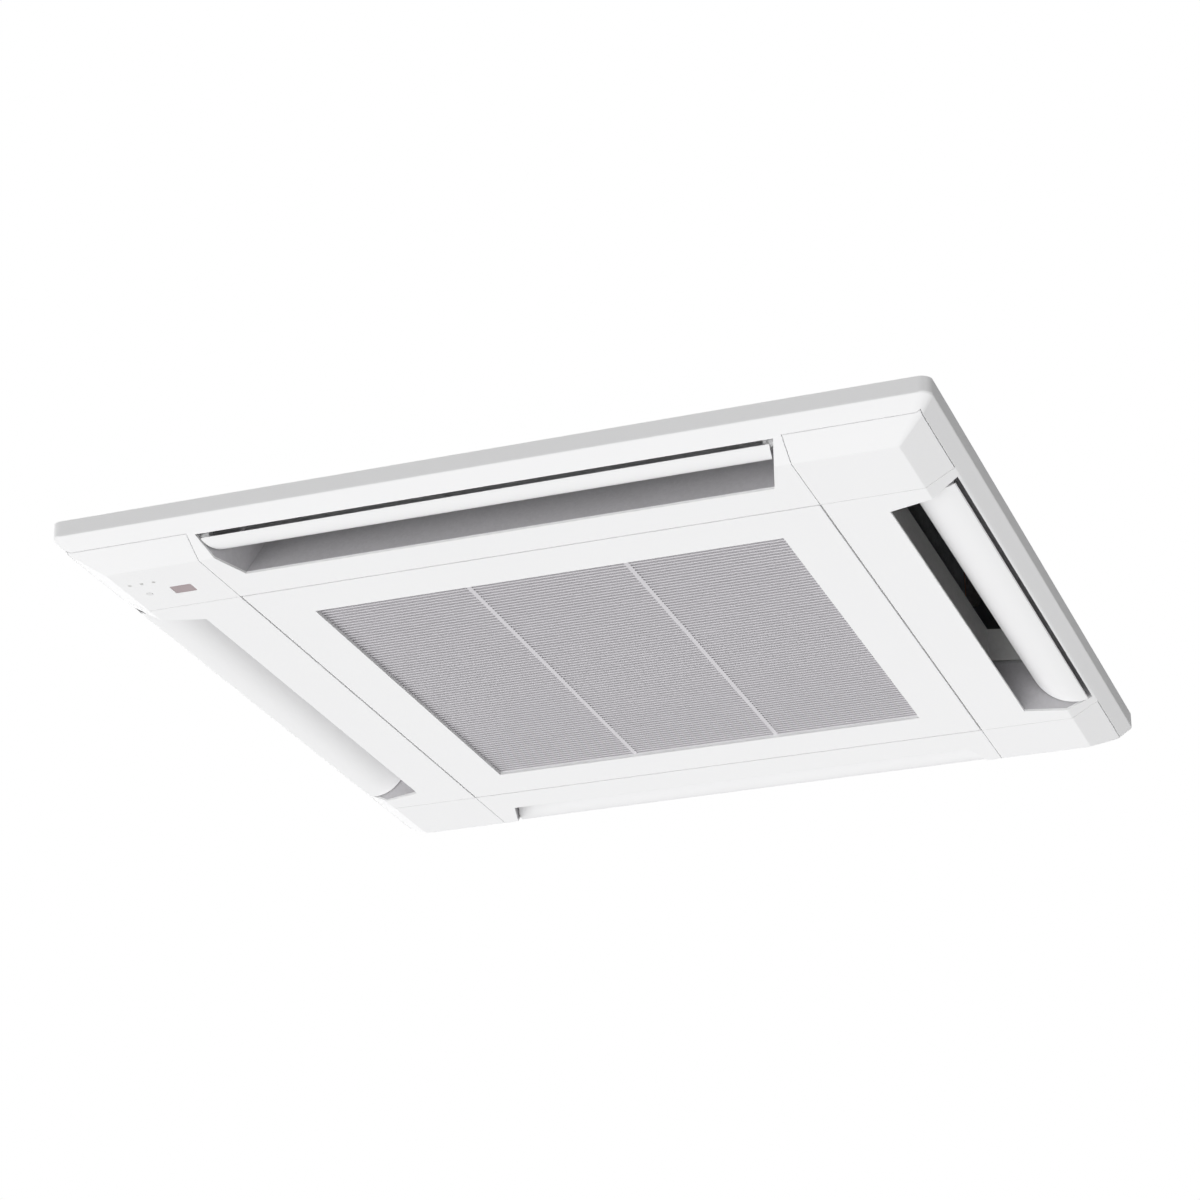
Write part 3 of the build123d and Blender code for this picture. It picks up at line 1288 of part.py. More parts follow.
export_step(bell_mouth.part, "parts/bell_mouth.step")

# Backward-curved centrifugal fan: shroud, blades and a hub plate with a deep cup that
# makes room for the motor.
roof_gap = 0.2
bracket_z = foam_top - foam_roof + roof_gap
grommet_height = 15.8
plate_thickness = 4
plate_z = bracket_z - grommet_height - plate_thickness
motor_crown = 2
motor_base = plate_z + plate_thickness + motor_crown - fan_motor_height
cup_over_motor = 41
fan_base = bell_top - bell_lap
fan_top = motor_base + cup_over_motor
fan_height = fan_top - fan_base
hub_plate = 3
shroud_rise = 36
shroud_skin = 2.5
shroud_bow = (22, 23)
cup_gap = 18
cup_draft = 6
cup_radius = fan_motor_radius + cup_gap
cup_foot = cup_radius - cup_draft
cup_depth = 45
cone_depth = 57
boss_outer = 14
boss_length = 75
boss_foot = fan_top - boss_length
blade_chord = 80
blade_root = fan_radius - blade_chord
blade_lean = 30
blade_front_rise = 26
blade_bite = 2
blade_sweep = 46
blade_bow = 12
blade_edge = 1.5
blade_thickness = 4
hub_low = fan_top - hub_plate
shroud_mid = (fan_radius - shroud_bow[0], fan_base + shroud_bow[1])
with BuildPart() as blade_passage:
    with BuildSketch(Plane.XZ):
        Polygon(
            (blade_root, fan_top - hub_plate / 2),
            (fan_radius - blade_bite, fan_top - hub_plate / 2),
            (fan_radius - blade_bite, fan_base + shroud_rise - shroud_skin / 2),
            (shroud_mid[0] - shroud_skin / 2, shroud_mid[1] + shroud_skin / 2),
            (fan_eye_radius + shroud_skin / 2, fan_base + 2 * blade_bite),
            (blade_root + blade_lean, fan_base + blade_front_rise),
        )
    revolve(axis=Axis.Z)
with BuildPart() as blades:
    with BuildSketch(Plane.XY.offset(fan_base)):
        for blade in range(fan_blades):
            start = 360 / fan_blades * blade
            root = Vector(blade_root - 1, 0).rotate(Axis.Z, start)
            tip = Vector(fan_radius, 0).rotate(Axis.Z, start - blade_sweep)
            bow = (tip - root).normalized().rotate(Axis.Z, 90)
            middle = (root + tip) / 2 + bow * blade_bow
            with BuildLine():
                ThreePointArc(root, middle, tip)
                Line(tip, tip + bow * blade_edge)
                back = middle + bow * blade_thickness
                ThreePointArc(tip + bow * blade_edge, back, root + bow * blade_edge)
                Line(root + bow * blade_edge, root)
            make_face()
    extrude(amount=fan_height)
    add(blade_passage.part, mode=Mode.INTERSECT)
with BuildPart() as turbo_fan:
    with BuildSketch(Plane.XZ):
        Polygon(
            (fan_radius - blade_bite, hub_low),
            (fan_radius - blade_bite, fan_top),
            (cup_radius - hub_plate, fan_top),
            (cup_foot - hub_plate, fan_top - cup_depth + hub_plate),
            (2 * boss_outer, fan_top - cone_depth + hub_plate),
            (shaft_radius, fan_top - cone_depth + hub_plate),
            (shaft_radius, boss_foot),
            (boss_outer, boss_foot),
            (boss_outer, fan_top - cone_depth),
            (2 * boss_outer, fan_top - cone_depth),
            (cup_foot, fan_top - cup_depth),
            (cup_radius, hub_low),
        )
        with BuildLine():
            ThreePointArc((fan_eye_radius, fan_base), shroud_mid, (fan_radius, fan_base + shroud_rise))
            Line((fan_radius, fan_base + shroud_rise), (fan_radius, fan_base + shroud_rise - shroud_skin))
            ThreePointArc(
                (fan_radius, fan_base + shroud_rise - shroud_skin),
                (shroud_mid[0] + 1, shroud_mid[1] - shroud_skin + 1),
                (fan_eye_radius + shroud_skin, fan_base),
            )
            Line((fan_eye_radius + shroud_skin, fan_base), (fan_eye_radius, fan_base))
        make_face()
    revolve(axis=Axis.Z)
    add(blades.part)
turbo_fan.part.label = "turbo_fan"
export_step(turbo_fan.part, "parts/turbo_fan.step")

# Steel shaft from the motor down through the fan's boss, with the nut that holds it.
nut_height = 8
nut_half_flats = 9
shaft_stub = 4
shaft_in_motor = 54
shaft_bevel = 1
shaft_foot = boss_foot - nut_height - shaft_stub
shaft_top = motor_base + shaft_in_motor
with BuildPart() as fan_shaft:
    with BuildSketch(Plane.XY.offset(shaft_foot)):
        Circle(shaft_radius)
    extrude(amount=shaft_top - shaft_foot)
    chamfer(fan_shaft.faces().sort_by(Axis.Z)[0].edges(), shaft_bevel)
fan_shaft.part.label = "fan_shaft"
export_step(fan_shaft.part, "parts/fan_shaft.step")

with BuildPart() as fan_nut:
    with BuildSketch(Plane.XY.offset(boss_foot - nut_height)):
        RegularPolygon(nut_half_flats, 6, major_radius=False)
        Circle(shaft_radius, mode=Mode.SUBTRACT)
    extrude(amount=nut_height)
fan_nut.part.label = "fan_nut"
export_step(fan_nut.part, "parts/fan_nut.step")

# Motor with a square mounting plate, hung on rubber grommets from a steel bracket
# fixed to the casing's roof.
bearing_radius = 20
bearing_height = 6
motor_bevel = 6
shaft_room = 2
with BuildPart() as fan_motor:
    with BuildSketch(Plane.XY.offset(motor_base)):
        Circle(fan_motor_radius)
    extrude(amount=fan_motor_height)
    chamfer(fan_motor.edges().group_by(Axis.Z)[0], motor_bevel)
    with BuildSketch(Plane.XY.offset(motor_base - bearing_height)):
        Circle(bearing_radius)
    extrude(amount=bearing_height)
    with BuildSketch(Plane.XY.offset(plate_z)):
        RectangleRounded(2 * (mount_at + mount_round), 2 * (mount_at + mount_round), mount_round)
    extrude(amount=plate_thickness)
    with BuildSketch(Plane.XY.offset(motor_base - bearing_height)):
        Circle(shaft_radius + running_gap)
    extrude(amount=shaft_top + shaft_room - motor_base + bearing_height, mode=Mode.SUBTRACT)
fan_motor.part.label = "fan_motor"
export_step(fan_motor.part, "parts/fan_motor.step")

grommet_radius = 9
with BuildPart() as motor_grommets:
    with BuildSketch(Plane.XY.offset(plate_z + plate_thickness)):
        with GridLocations(2 * mount_at, 2 * mount_at, 2, 2):
            Circle(grommet_radius)
    extrude(amount=grommet_height)
motor_grommets.part.label = "motor_grommets"
export_step(motor_grommets.part, "parts/motor_grommets.step")

bracket_sheet = 2.5
bracket_foot_radius = 9
with BuildPart() as motor_bracket:
    with BuildSketch(Plane.XY.offset(bracket_z)):
        RectangleRounded(2 * (mount_at + mount_round), 2 * (mount_at + mount_round), mount_round)
        Circle(mount_at - mount_round, mode=Mode.SUBTRACT)
    extrude(amount=bracket_sheet)
    with BuildSketch(Plane.XY.offset(bracket_z)):
        with PolarLocations(mount_at, 4):
            Circle(bracket_foot_radius)
    extrude(amount=foam_top - bracket_z)
motor_bracket.part.label = "motor_bracket"
export_step(motor_bracket.part, "parts/motor_bracket.step")

# ---------------------------------------------------------------- electrical box
# Sheet tray under the bell mouth with a lid below, reached once the grille is open.
box_collar_gap = 7.6
box_x = opening_x - box_width / 2 - box_collar_gap
box_top = collar_top
box_bottom = box_top - box_depth
box_post_y = 60
box_post_radius = 5
box_post_x = sqrt(((bell_brim + bell_flange) / 2) ** 2 - box_post_y**2)
box_entry_y = 150
entry_radius = 9
with BuildPart() as control_box:
    with BuildSketch(Plane.XY.offset(box_bottom + sheet)):
        with Locations((box_x, 0)):
            Rectangle(box_width, box_length)
    extrude(amount=box_depth - sheet)
    with BuildSketch(Plane.XY.offset(box_bottom + sheet)):
        with Locations((box_x, 0)):
            Rectangle(box_width - 2 * sheet, box_length - 2 * sheet)
    extrude(amount=box_depth - 2 * sheet, mode=Mode.SUBTRACT)
    with BuildSketch(Plane.XY.offset(box_top)):
        with Locations((box_post_x, -box_post_y), (box_post_x, box_post_y)):
            Circle(box_post_radius)
    extrude(amount=bell_base - box_top)
    with BuildSketch(Plane.YZ.offset(box_x - box_width / 2)):
        with Locations((-box_entry_y, box_top - box_depth / 2), (box_entry_y, box_top - box_depth / 2)):
            Circle(entry_radius)
    extrude(amount=2 * sheet, both=True, mode=Mode.SUBTRACT)
control_box.part.label = "control_box"
export_step(control_box.part, "parts/control_box.step")

lid_screw_inset = 8
lid_screw_radius = 2
with BuildPart() as control_box_cover:
    with BuildSketch(Plane.XY.offset(box_bottom)):
        with Locations((box_x, 0)):
            Rectangle(box_width, box_length)
            with Locations((0, lid_screw_inset - box_length / 2), (0, box_length / 2 - lid_screw_inset)):
                Circle(lid_screw_radius, mode=Mode.SUBTRACT)
    extrude(amount=sheet)
control_box_cover.part.label = "control_box_cover"
export_step(control_box_cover.part, "parts/control_box_cover.step")

# Control board with its components, on four posts, and the terminal block beside it.
# The components hang below the board: two capacitors, a transformer, two relays, a
# processor and three connectors.
board_y = 45
board_length = 280
board_width = 80
board_roof_gap = 8
board_post_inset = 6
post_spacing_x = board_width - 2 * board_post_inset
post_spacing_y = board_length - 2 * board_post_inset
main_post_radius = 3
main_board_z = box_top - board_roof_gap
capacitor_radius = 11
transformer = (34, 30)
tall_height = 20
relay = (16, 20)
processor = (26, 26)
plug_row = (8, 26)
low_height = 12
with BuildPart() as control_board:
    with BuildSketch(Plane.XY.offset(main_board_z)):
        with Locations((box_x, board_y)):
            Rectangle(board_width, board_length)
    extrude(amount=board_thickness)
    with BuildSketch(Plane.XY.offset(main_board_z + board_thickness)):
        with Locations((box_x, board_y)):
            with GridLocations(post_spacing_x, post_spacing_y, 2, 2):
                Circle(main_post_radius)
    extrude(amount=board_roof_gap - sheet - board_thickness)
    with BuildSketch(Plane.XY.offset(main_board_z)):
        with Locations((box_x, board_y)):
            with Locations((-18, 90), (16, 90)):
                Circle(capacitor_radius)
            with Locations((-14, 40)):
                Rectangle(*transformer)
    extrude(amount=-tall_height)
    with BuildSketch(Plane.XY.offset(main_board_z)):
        with Locations((box_x, board_y)):
            with Locations((22, 40), (22, 0)):
                Rectangle(*relay)
            with Locations((0, -60)):
                Rectangle(*processor)
            with Locations((-30, -20), (-30, -60), (-30, -100)):
                Rectangle(*plug_row)
    extrude(amount=-low_height)
control_board.part.label = "control_board"
export_step(control_board.part, "parts/control_board.step")

terminal_y = -150
terminal_height = 18
terminal_width = 76
terminal_depth = 26
terminal_pitch = 12
terminal_rows = 14
terminal_hole = 3.2
terminal_hole_depth = 6
with BuildPart() as terminal_block:
    with BuildSketch(Plane.XY.offset(box_top - sheet - terminal_height)):
        with Locations((box_x, terminal_y)):
            Rectangle(terminal_width, terminal_depth)
    extrude(amount=terminal_height)
    with BuildSketch(Plane.XY.offset(box_top - sheet - terminal_height)):
        with Locations((box_x, terminal_y)):
            with GridLocations(terminal_pitch, terminal_rows, 6, 2):
                Circle(terminal_hole)
    extrude(amount=terminal_hole_depth, mode=Mode.SUBTRACT)
terminal_block.part.label = "terminal_block"
export_step(terminal_block.part, "parts/terminal_block.step")

# ---------------------------------------------------------------- condensate pump
# Lifting pump with its suction tube in the sump, a float on a stem beside it, and the
# drain pipe that leads out through the casing's back wall.
pump_radius = 22
pump_clearance = 6
pump_base = pan_top + pump_clearance
pump_height = 46
suction_radius = 9
pump_cap_radius = 16
pump_cap_height = 14
drain_bore = 8
drain_wall = 2.5
nozzle_radius = drain_bore - 0.1
nozzle_reach = 8
suction_gap = 3
pump_arm_width = 20
pump_arm_offset = 16
pump_arm_thickness = 2
with BuildPart() as drain_pump:
    with BuildSketch(Plane.XY.offset(pump_base)):
        with Locations((sump_at, sump_at)):
            Circle(pump_radius)
    extrude(amount=pump_height)
    with BuildSketch(Plane.XY.offset(sump_floor + suction_gap)):
        with Locations((sump_at, sump_at)):
            Circle(suction_radius)
    extrude(amount=pump_base - sump_floor - suction_gap)
    with BuildSketch(Plane.XY.offset(pump_base + pump_height)):
        with Locations((sump_at, sump_at)):
            Circle(pump_cap_radius)
    extrude(amount=pump_cap_height)
    with BuildSketch(Plane.XY.offset(pump_base + pump_height - pump_arm_thickness)):
        with Locations(((sump_at + cabinet_half - foam_inset) / 2, sump_at - pump_arm_offset)):
            Rectangle(cabinet_half - foam_inset - sump_at, pump_arm_width)
    extrude(amount=pump_arm_thickness)
    with BuildSketch(Plane.XZ.offset(-sump_at)):
        with Locations((sump_at, drain_z)):
            Circle(nozzle_radius)
    extrude(amount=-pump_radius - nozzle_reach)
drain_pump.part.label = "drain_pump"
export_step(drain_pump.part, "parts/drain_pump.step")

float_offset_x = 38
float_offset_y = 10
float_x = sump_at - float_offset_x
float_y = sump_at - float_offset_y
float_stem_radius = 3
float_stop = 2.5
float_stop_thickness = 4
float_ring_radius = 10
float_ring_height = 12
float_travel = 10
float_gap = 0.35
float_foot = sump_floor + 2
float_seat = 2.5
float_rest = float_foot + float_seat + 0.5
float_head = float_rest + float_ring_height + float_travel + 1
float_round = 2
float_arm_width = 10
float_arm_thickness = 2
to_pump = (Vector(sump_at, sump_at) - Vector(float_x, float_y)).normalized()
arm_end_point = Vector(sump_at, sump_at) - to_pump * pump_cap_radius
with BuildPart() as float_stem:
    with BuildSketch(Plane.XY.offset(float_foot)):
        with Locations((float_x, float_y)):
            Circle(float_stem_radius)
    extrude(amount=pump_base + pump_height - float_foot)
    with BuildSketch(Plane.XY.offset(float_foot)):
        with Locations((float_x, float_y)):
            Circle(float_stem_radius + float_stop)
    extrude(amount=float_seat)
    with BuildSketch(Plane.XY.offset(float_head)):
        with Locations((float_x, float_y)):
            Circle(float_stem_radius + float_stop)
    extrude(amount=float_stop_thickness)
    with BuildSketch(Plane.XY.offset(pump_base + pump_height)):
        with BuildLine():
            Line((float_x, float_y), arm_end_point)
        trace(line_width=float_arm_width)
    extrude(amount=float_arm_thickness)
float_stem.part.label = "float_stem"
export_step(float_stem.part, "parts/float_stem.step")

with BuildPart() as float_ring:
    with BuildSketch(Plane.XY.offset(float_rest)):
        with Locations((float_x, float_y)):
            Circle(float_ring_radius)
            Circle(float_stem_radius + float_gap, mode=Mode.SUBTRACT)
    extrude(amount=float_ring_height)
    fillet(float_ring.edges().filter_by(GeomType.CIRCLE).sort_by(SortBy.RADIUS)[-2:], float_round)
float_ring.part.label = "float_ring"
export_step(float_ring.part, "parts/float_ring.step")

# Moulded drain pipe from the pump's nozzle round to the socket in the casing's back
# wall, where a flange seats on the outside.
drain_outer = drain_bore + drain_wall
drain_reach = 42
drain_end = cabinet_half + drain_reach
drain_wall_gap = 11
drain_run_y = cabinet_half - foam_inset - drain_outer - drain_wall_gap
drain_start_y = sump_at + pump_radius + 1
drain_bend = 14
socket_wall = 3.5
drain_flange = 8
drain_flange_thickness = 2
with BuildPart() as drain_socket:
    with BuildLine() as drain_path:
        FilletPolyline(
            (sump_at, drain_start_y, drain_z),
            (sump_at, drain_run_y, drain_z),
            (drain_x, drain_run_y, drain_z),
            (drain_x, cabinet_half, drain_z),
            radius=drain_bend,
        )
    with BuildSketch(Plane.XZ.offset(-drain_start_y)):
        with Locations((sump_at, drain_z)):
            Circle(drain_outer)
    sweep(path=drain_path.line)
    with BuildSketch(Plane.XZ.offset(-cabinet_half + foam_inset)):
        with Locations((drain_x, drain_z)):
            Circle(drain_radius)
    extrude(amount=cabinet_half - foam_inset - drain_end)
    with BuildSketch(Plane.XZ.offset(-cabinet_half)):
        with Locations((drain_x, drain_z)):
            Circle(drain_radius + drain_flange)
    extrude(amount=-drain_flange_thickness)
    with BuildSketch(Plane.XZ.offset(-drain_start_y)):
        with Locations((sump_at, drain_z)):
            Circle(drain_bore)
    sweep(path=drain_path.line, mode=Mode.SUBTRACT)
    with BuildSketch(Plane.XZ.offset(-drain_end)):
        with Locations((drain_x, drain_z)):
            Circle(drain_radius - socket_wall)
    extrude(amount=drain_end - cabinet_half, mode=Mode.SUBTRACT)
drain_socket.part.label = "drain_socket"
export_step(drain_socket.part, "parts/drain_socket.step")

# ---------------------------------------------------------------- sensor and grommet
# Room temperature probe clipped under the bell mouth, on the side away from the box.
sensor_setback = 17
sensor_reach = bell_flange - sensor_setback
sensor_radius = 3
sensor_length = 26
sensor_drop = 8
clip_side = 8
clip_drop = 10
with BuildPart() as room_sensor:
    with BuildSketch(Plane.XY.offset(bell_base - clip_drop)):
        with Locations((-sensor_reach, 0)):
            Rectangle(clip_side, clip_side)
    extrude(amount=clip_drop)
    with BuildSketch(Plane.XZ.offset(-sensor_length / 2)):
        with Locations((-sensor_reach, bell_base - sensor_drop)):
            Circle(sensor_radius)
    extrude(amount=sensor_length)
room_sensor.part.label = "room_sensor"
export_step(room_sensor.part, "parts/room_sensor.step")

# Rubber grommet that lines the cable entry in the casing's left wall.
grommet_lip = 4
grommet_face = 3
with BuildPart() as cable_grommet:
    with BuildSketch(Plane.YZ.offset(-cabinet_half - grommet_face)):
        with Locations((cable_y, cable_z)):
            Circle(cable_hole_radius + grommet_lip)
    extrude(amount=grommet_face)
    with BuildSketch(Plane.YZ.offset(-cabinet_half)):
        with Locations((cable_y, cable_z)):
            Circle(cable_hole_radius)
    extrude(amount=sheet + foam_wall / 2)
    with BuildSketch(Plane.YZ.offset(-cabinet_half - grommet_face)):
        with Locations((cable_y, cable_z)):
            Circle(cable_hole_radius - grommet_lip)
    extrude(amount=sheet + foam_wall, mode=Mode.SUBTRACT)
cable_grommet.part.label = "cable_grommet"
export_step(cable_grommet.part, "parts/cable_grommet.step")
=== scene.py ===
import bpy, bmesh, math
from mathutils import Matrix, Vector


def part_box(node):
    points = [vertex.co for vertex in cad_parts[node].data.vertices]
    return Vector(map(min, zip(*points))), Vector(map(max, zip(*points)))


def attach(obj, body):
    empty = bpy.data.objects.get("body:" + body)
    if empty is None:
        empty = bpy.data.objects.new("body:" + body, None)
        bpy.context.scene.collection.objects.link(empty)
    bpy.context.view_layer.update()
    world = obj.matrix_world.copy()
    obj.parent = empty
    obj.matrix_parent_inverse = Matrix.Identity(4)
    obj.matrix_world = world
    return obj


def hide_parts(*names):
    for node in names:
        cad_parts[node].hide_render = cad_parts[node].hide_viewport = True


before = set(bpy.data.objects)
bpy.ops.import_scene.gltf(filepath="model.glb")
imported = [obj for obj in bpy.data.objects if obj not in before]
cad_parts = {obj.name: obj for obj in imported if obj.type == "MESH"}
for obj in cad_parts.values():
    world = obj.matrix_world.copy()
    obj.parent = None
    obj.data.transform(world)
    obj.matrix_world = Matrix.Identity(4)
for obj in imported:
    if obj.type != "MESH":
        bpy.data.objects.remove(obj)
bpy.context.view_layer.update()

# ---------------------------------------------------------------- camera
# The view looks up at the underside of the panel from the front and a little
# to the right, as a person sees it on the ceiling.
picture_side = 1200
focal_pixels = 3248.2
centre_column = 588.8
centre_row = 601.8
sensor_width = 36
standpoint = (1.1248, -3.1739, -1.4450)
aim = math.radians(-20.29)
rise = math.radians(23.67)
roll = math.radians(-0.21)
ahead = Vector((math.sin(aim) * math.cos(rise), math.cos(aim) * math.cos(rise), math.sin(rise)))
level_right = Vector((math.cos(aim), -math.sin(aim), 0))
level_up = level_right.cross(ahead)
view_right = math.cos(roll) * level_right + math.sin(roll) * level_up
view_up = math.cos(roll) * level_up - math.sin(roll) * level_right
lens_data = bpy.data.cameras.new("camera")
lens_data.sensor_width = sensor_width
lens_data.lens = sensor_width * focal_pixels / picture_side
lens_data.shift_x = (picture_side / 2 - centre_column) / picture_side
lens_data.shift_y = (centre_row - picture_side / 2) / picture_side
lens_data.clip_start = 0.05
lens_data.clip_end = 60
camera = bpy.data.objects.new("camera", lens_data)
bpy.context.scene.collection.objects.link(camera)
turn = Matrix((view_right, view_up, -ahead)).transposed().to_4x4()
camera.matrix_world = Matrix.Translation(standpoint) @ turn
bpy.context.scene.camera = camera

# ---------------------------------------------------------------- room
# Soft light: a broad source below the ceiling on the left and front, a weaker one
# above on the left and back for the casing, and an even pale surround.
bpy.context.scene.view_settings.view_transform = "Standard"


def sun(name, direction, power, spread):
    """A distant soft lamp that shines along a direction."""
    lamp = bpy.data.lights.new(name, "SUN")
    lamp.energy = power
    lamp.angle = math.radians(spread)
    holder = bpy.data.objects.new(name, lamp)
    holder.rotation_mode = "QUATERNION"
    holder.rotation_quaternion = Vector(direction).to_track_quat("-Z", "Y")
    bpy.context.scene.collection.objects.link(holder)


sun("light_from_below", direction=(0.28, 0.36, 0.70), power=4.95, spread=90)
sun("light_from_above", direction=(0.6, -0.5, -0.7), power=1.7, spread=90)
surround = bpy.data.worlds.new("surround")
bpy.context.scene.world = surround
surround.use_nodes = True
tree = surround.node_tree
tree.nodes.clear()
out = tree.nodes.new("ShaderNodeOutputWorld")
pale = tree.nodes.new("ShaderNodeBackground")
pale.inputs["Color"].default_value = (1, 1, 1, 1)
pale.inputs["Strength"].default_value = 1.0
soft = tree.nodes.new("ShaderNodeBackground")
soft.inputs["Color"].default_value = (1, 1, 1, 1)
soft.inputs["Strength"].default_value = 0.34
seen = tree.nodes.new("ShaderNodeLightPath")
mix = tree.nodes.new("ShaderNodeMixShader")
tree.links.new(seen.outputs["Is Camera Ray"], mix.inputs["Fac"])
tree.links.new(soft.outputs[0], mix.inputs[1])
tree.links.new(pale.outputs[0], mix.inputs[2])
tree.links.new(mix.outputs[0], out.inputs["Surface"])


def room_sheet(name, reach, z, hole=0.0):
    """A level sheet of the room, with an optional square hole, that casts no shadow."""
    square = ((-1, -1), (1, -1), (1, 1), (-1, 1))
    sheet = bmesh.new()
    outer = [sheet.verts.new((x * reach, y * reach, z)) for x, y in square]
    if hole:
        inner = [sheet.verts.new((x * hole, y * hole, z)) for x, y in square]
        for i in range(4):
            j = (i + 1) % 4
            sheet.faces.new((outer[i], outer[j], inner[j], inner[i]))
    else:
        sheet.faces.new(outer)
    mesh = bpy.data.meshes.new(name)
    sheet.to_mesh(mesh)
    obj = bpy.data.objects.new(name, mesh)
    bpy.context.scene.collection.objects.link(obj)
    obj.visible_shadow = False
    return obj


# The floor lies well below the ceiling. The camera sees it as mostly plain white; to
# everything else it is a matt grey sheet.
floor_white = 0.88
floor = room_sheet("floor", reach=60, z=-4.2)
floor_paint = bpy.data.materials.new("floor_paint")
floor_paint.use_nodes = True
tree = floor_paint.node_tree
floor_skin = tree.nodes["Principled BSDF"]
floor_skin.inputs["Base Color"].default_value = (0.42, 0.42, 0.42, 1)
floor_skin.inputs["Roughness"].default_value = 0.9
floor_glow = tree.nodes.new("ShaderNodeEmission")
floor_glow.inputs["Color"].default_value = (1, 1, 1, 1)
floor_seen = tree.nodes.new("ShaderNodeLightPath")
floor_share = tree.nodes.new("ShaderNodeMath")
floor_share.operation = "MULTIPLY"
floor_share.inputs[1].default_value = floor_white
floor_mix = tree.nodes.new("ShaderNodeMixShader")
tree.links.new(floor_seen.outputs["Is Camera Ray"], floor_share.inputs[0])
tree.links.new(floor_share.outputs[0], floor_mix.inputs["Fac"])
tree.links.new(floor_skin.outputs[0], floor_mix.inputs[1])
tree.links.new(floor_glow.outputs[0], floor_mix.inputs[2])
tree.links.new(floor_mix.outputs[0], tree.nodes["Material Output"].inputs["Surface"])
floor.data.materials.append(floor_paint)

# The finished ceiling: white from below, open from above, so that the casing over it
# can be seen in views from above. Bounced and mirrored light pass through it.
ceiling = room_sheet("ceiling", reach=20, z=0.0004, hole=0.45)
ceiling.visible_diffuse = False
ceiling.visible_glossy = False
ceiling_paint = bpy.data.materials.new("ceiling_paint")
ceiling_paint.use_nodes = True
tree = ceiling_paint.node_tree
tree.nodes.clear()
out = tree.nodes.new("ShaderNodeOutputMaterial")
white = tree.nodes.new("ShaderNodeEmission")
white.inputs["Color"].default_value = (1, 1, 1, 1)
white.inputs["Strength"].default_value = 1.0
clear = tree.nodes.new("ShaderNodeBsdfTransparent")
face = tree.nodes.new("ShaderNodeNewGeometry")
mix = tree.nodes.new("ShaderNodeMixShader")
tree.links.new(face.outputs["Backfacing"], mix.inputs["Fac"])
tree.links.new(clear.outputs[0], mix.inputs[1])
tree.links.new(white.outputs[0], mix.inputs[2])
tree.links.new(mix.outputs[0], out.inputs["Surface"])
ceiling.data.materials.append(ceiling_paint)

# ---------------------------------------------------------------- casing
# Roof, side plates and corner plates of galvanised sheet, folded and screwed together
# at the corners. The zinc shows as flat grey crystals a few millimetres across.


def wire(material, *pairs):
    """Join nodes of a material, each pair as (source, output) to (target, input)."""
    for (source, socket), (target, plug) in pairs:
        material.node_tree.links.new(source.outputs[socket], target.inputs[plug])


def two_tones(material, colour, darker):
    """Colour mix node between a darker and the full tone of a colour."""
    tint = material.node_tree.nodes.new("ShaderNodeMix")
    tint.data_type = "RGBA"
    tint.inputs[6].default_value = (*[c * darker for c in colour], 1)
    tint.inputs[7].default_value = (*colour, 1)
    return tint


def galvanised(name, colour, rough, crystal=140):
    """Zinc-plated sheet: crystals of slightly different shade and gloss, fine rolling lines."""
    m = bpy.data.materials.new(name)
    m.use_nodes = True
    n = m.node_tree.nodes
    skin = n["Principled BSDF"]
    place = n.new("ShaderNodeTexCoord")
    crystals = n.new("ShaderNodeTexVoronoi")
    crystals.inputs["Scale"].default_value = crystal
    shade = n.new("ShaderNodeSeparateColor")
    tint = two_tones(m, colour, 0.82)
    gloss = n.new("ShaderNodeMapRange")
    gloss.inputs["To Min"].default_value = rough - 0.07
    gloss.inputs["To Max"].default_value = rough + 0.08
    stretch = n.new("ShaderNodeMapping")
    stretch.inputs["Scale"].default_value = (40, 900, 900)
    rolling = n.new("ShaderNodeTexNoise")
    rolling.inputs["Scale"].default_value = 1.0
    relief = n.new("ShaderNodeBump")
    relief.inputs["Strength"].default_value = 0.25
    relief.inputs["Distance"].default_value = 0.00002
    wire(
        m,
        ((place, "Object"), (crystals, "Vector")),
        ((crystals, "Color"), (shade, "Color")),
        ((shade, "Red"), (tint, 0)),
        ((tint, 2), (skin, "Base Color")),
        ((shade, "Green"), (gloss, "Value")),
        ((gloss, "Result"), (skin, "Roughness")),
        ((place, "Object"), (stretch, "Vector")),
        ((stretch, "Vector"), (rolling, "Vector")),
        ((rolling, "Fac"), (relief, "Height")),
        ((relief, "Normal"), (skin, "Normal")),
    )
    skin.inputs["Metallic"].default_value = 0.85
    return m


def dress(material, *nodes):
    """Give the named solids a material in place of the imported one."""
    for node in nodes:
        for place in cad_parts[node].material_slots:
            place.material = material


casing_zinc = galvanised("casing_zinc", (0.66, 0.67, 0.68), rough=0.42)
dress(casing_zinc, "casing_roof", "casing_sides", "casing_corners")

# ---------------------------------------------------------------- casing screws
# Self-tapping screws with flanged hexagon heads. They join roof, sides and corners
# along the seams, and are driven in from outside.


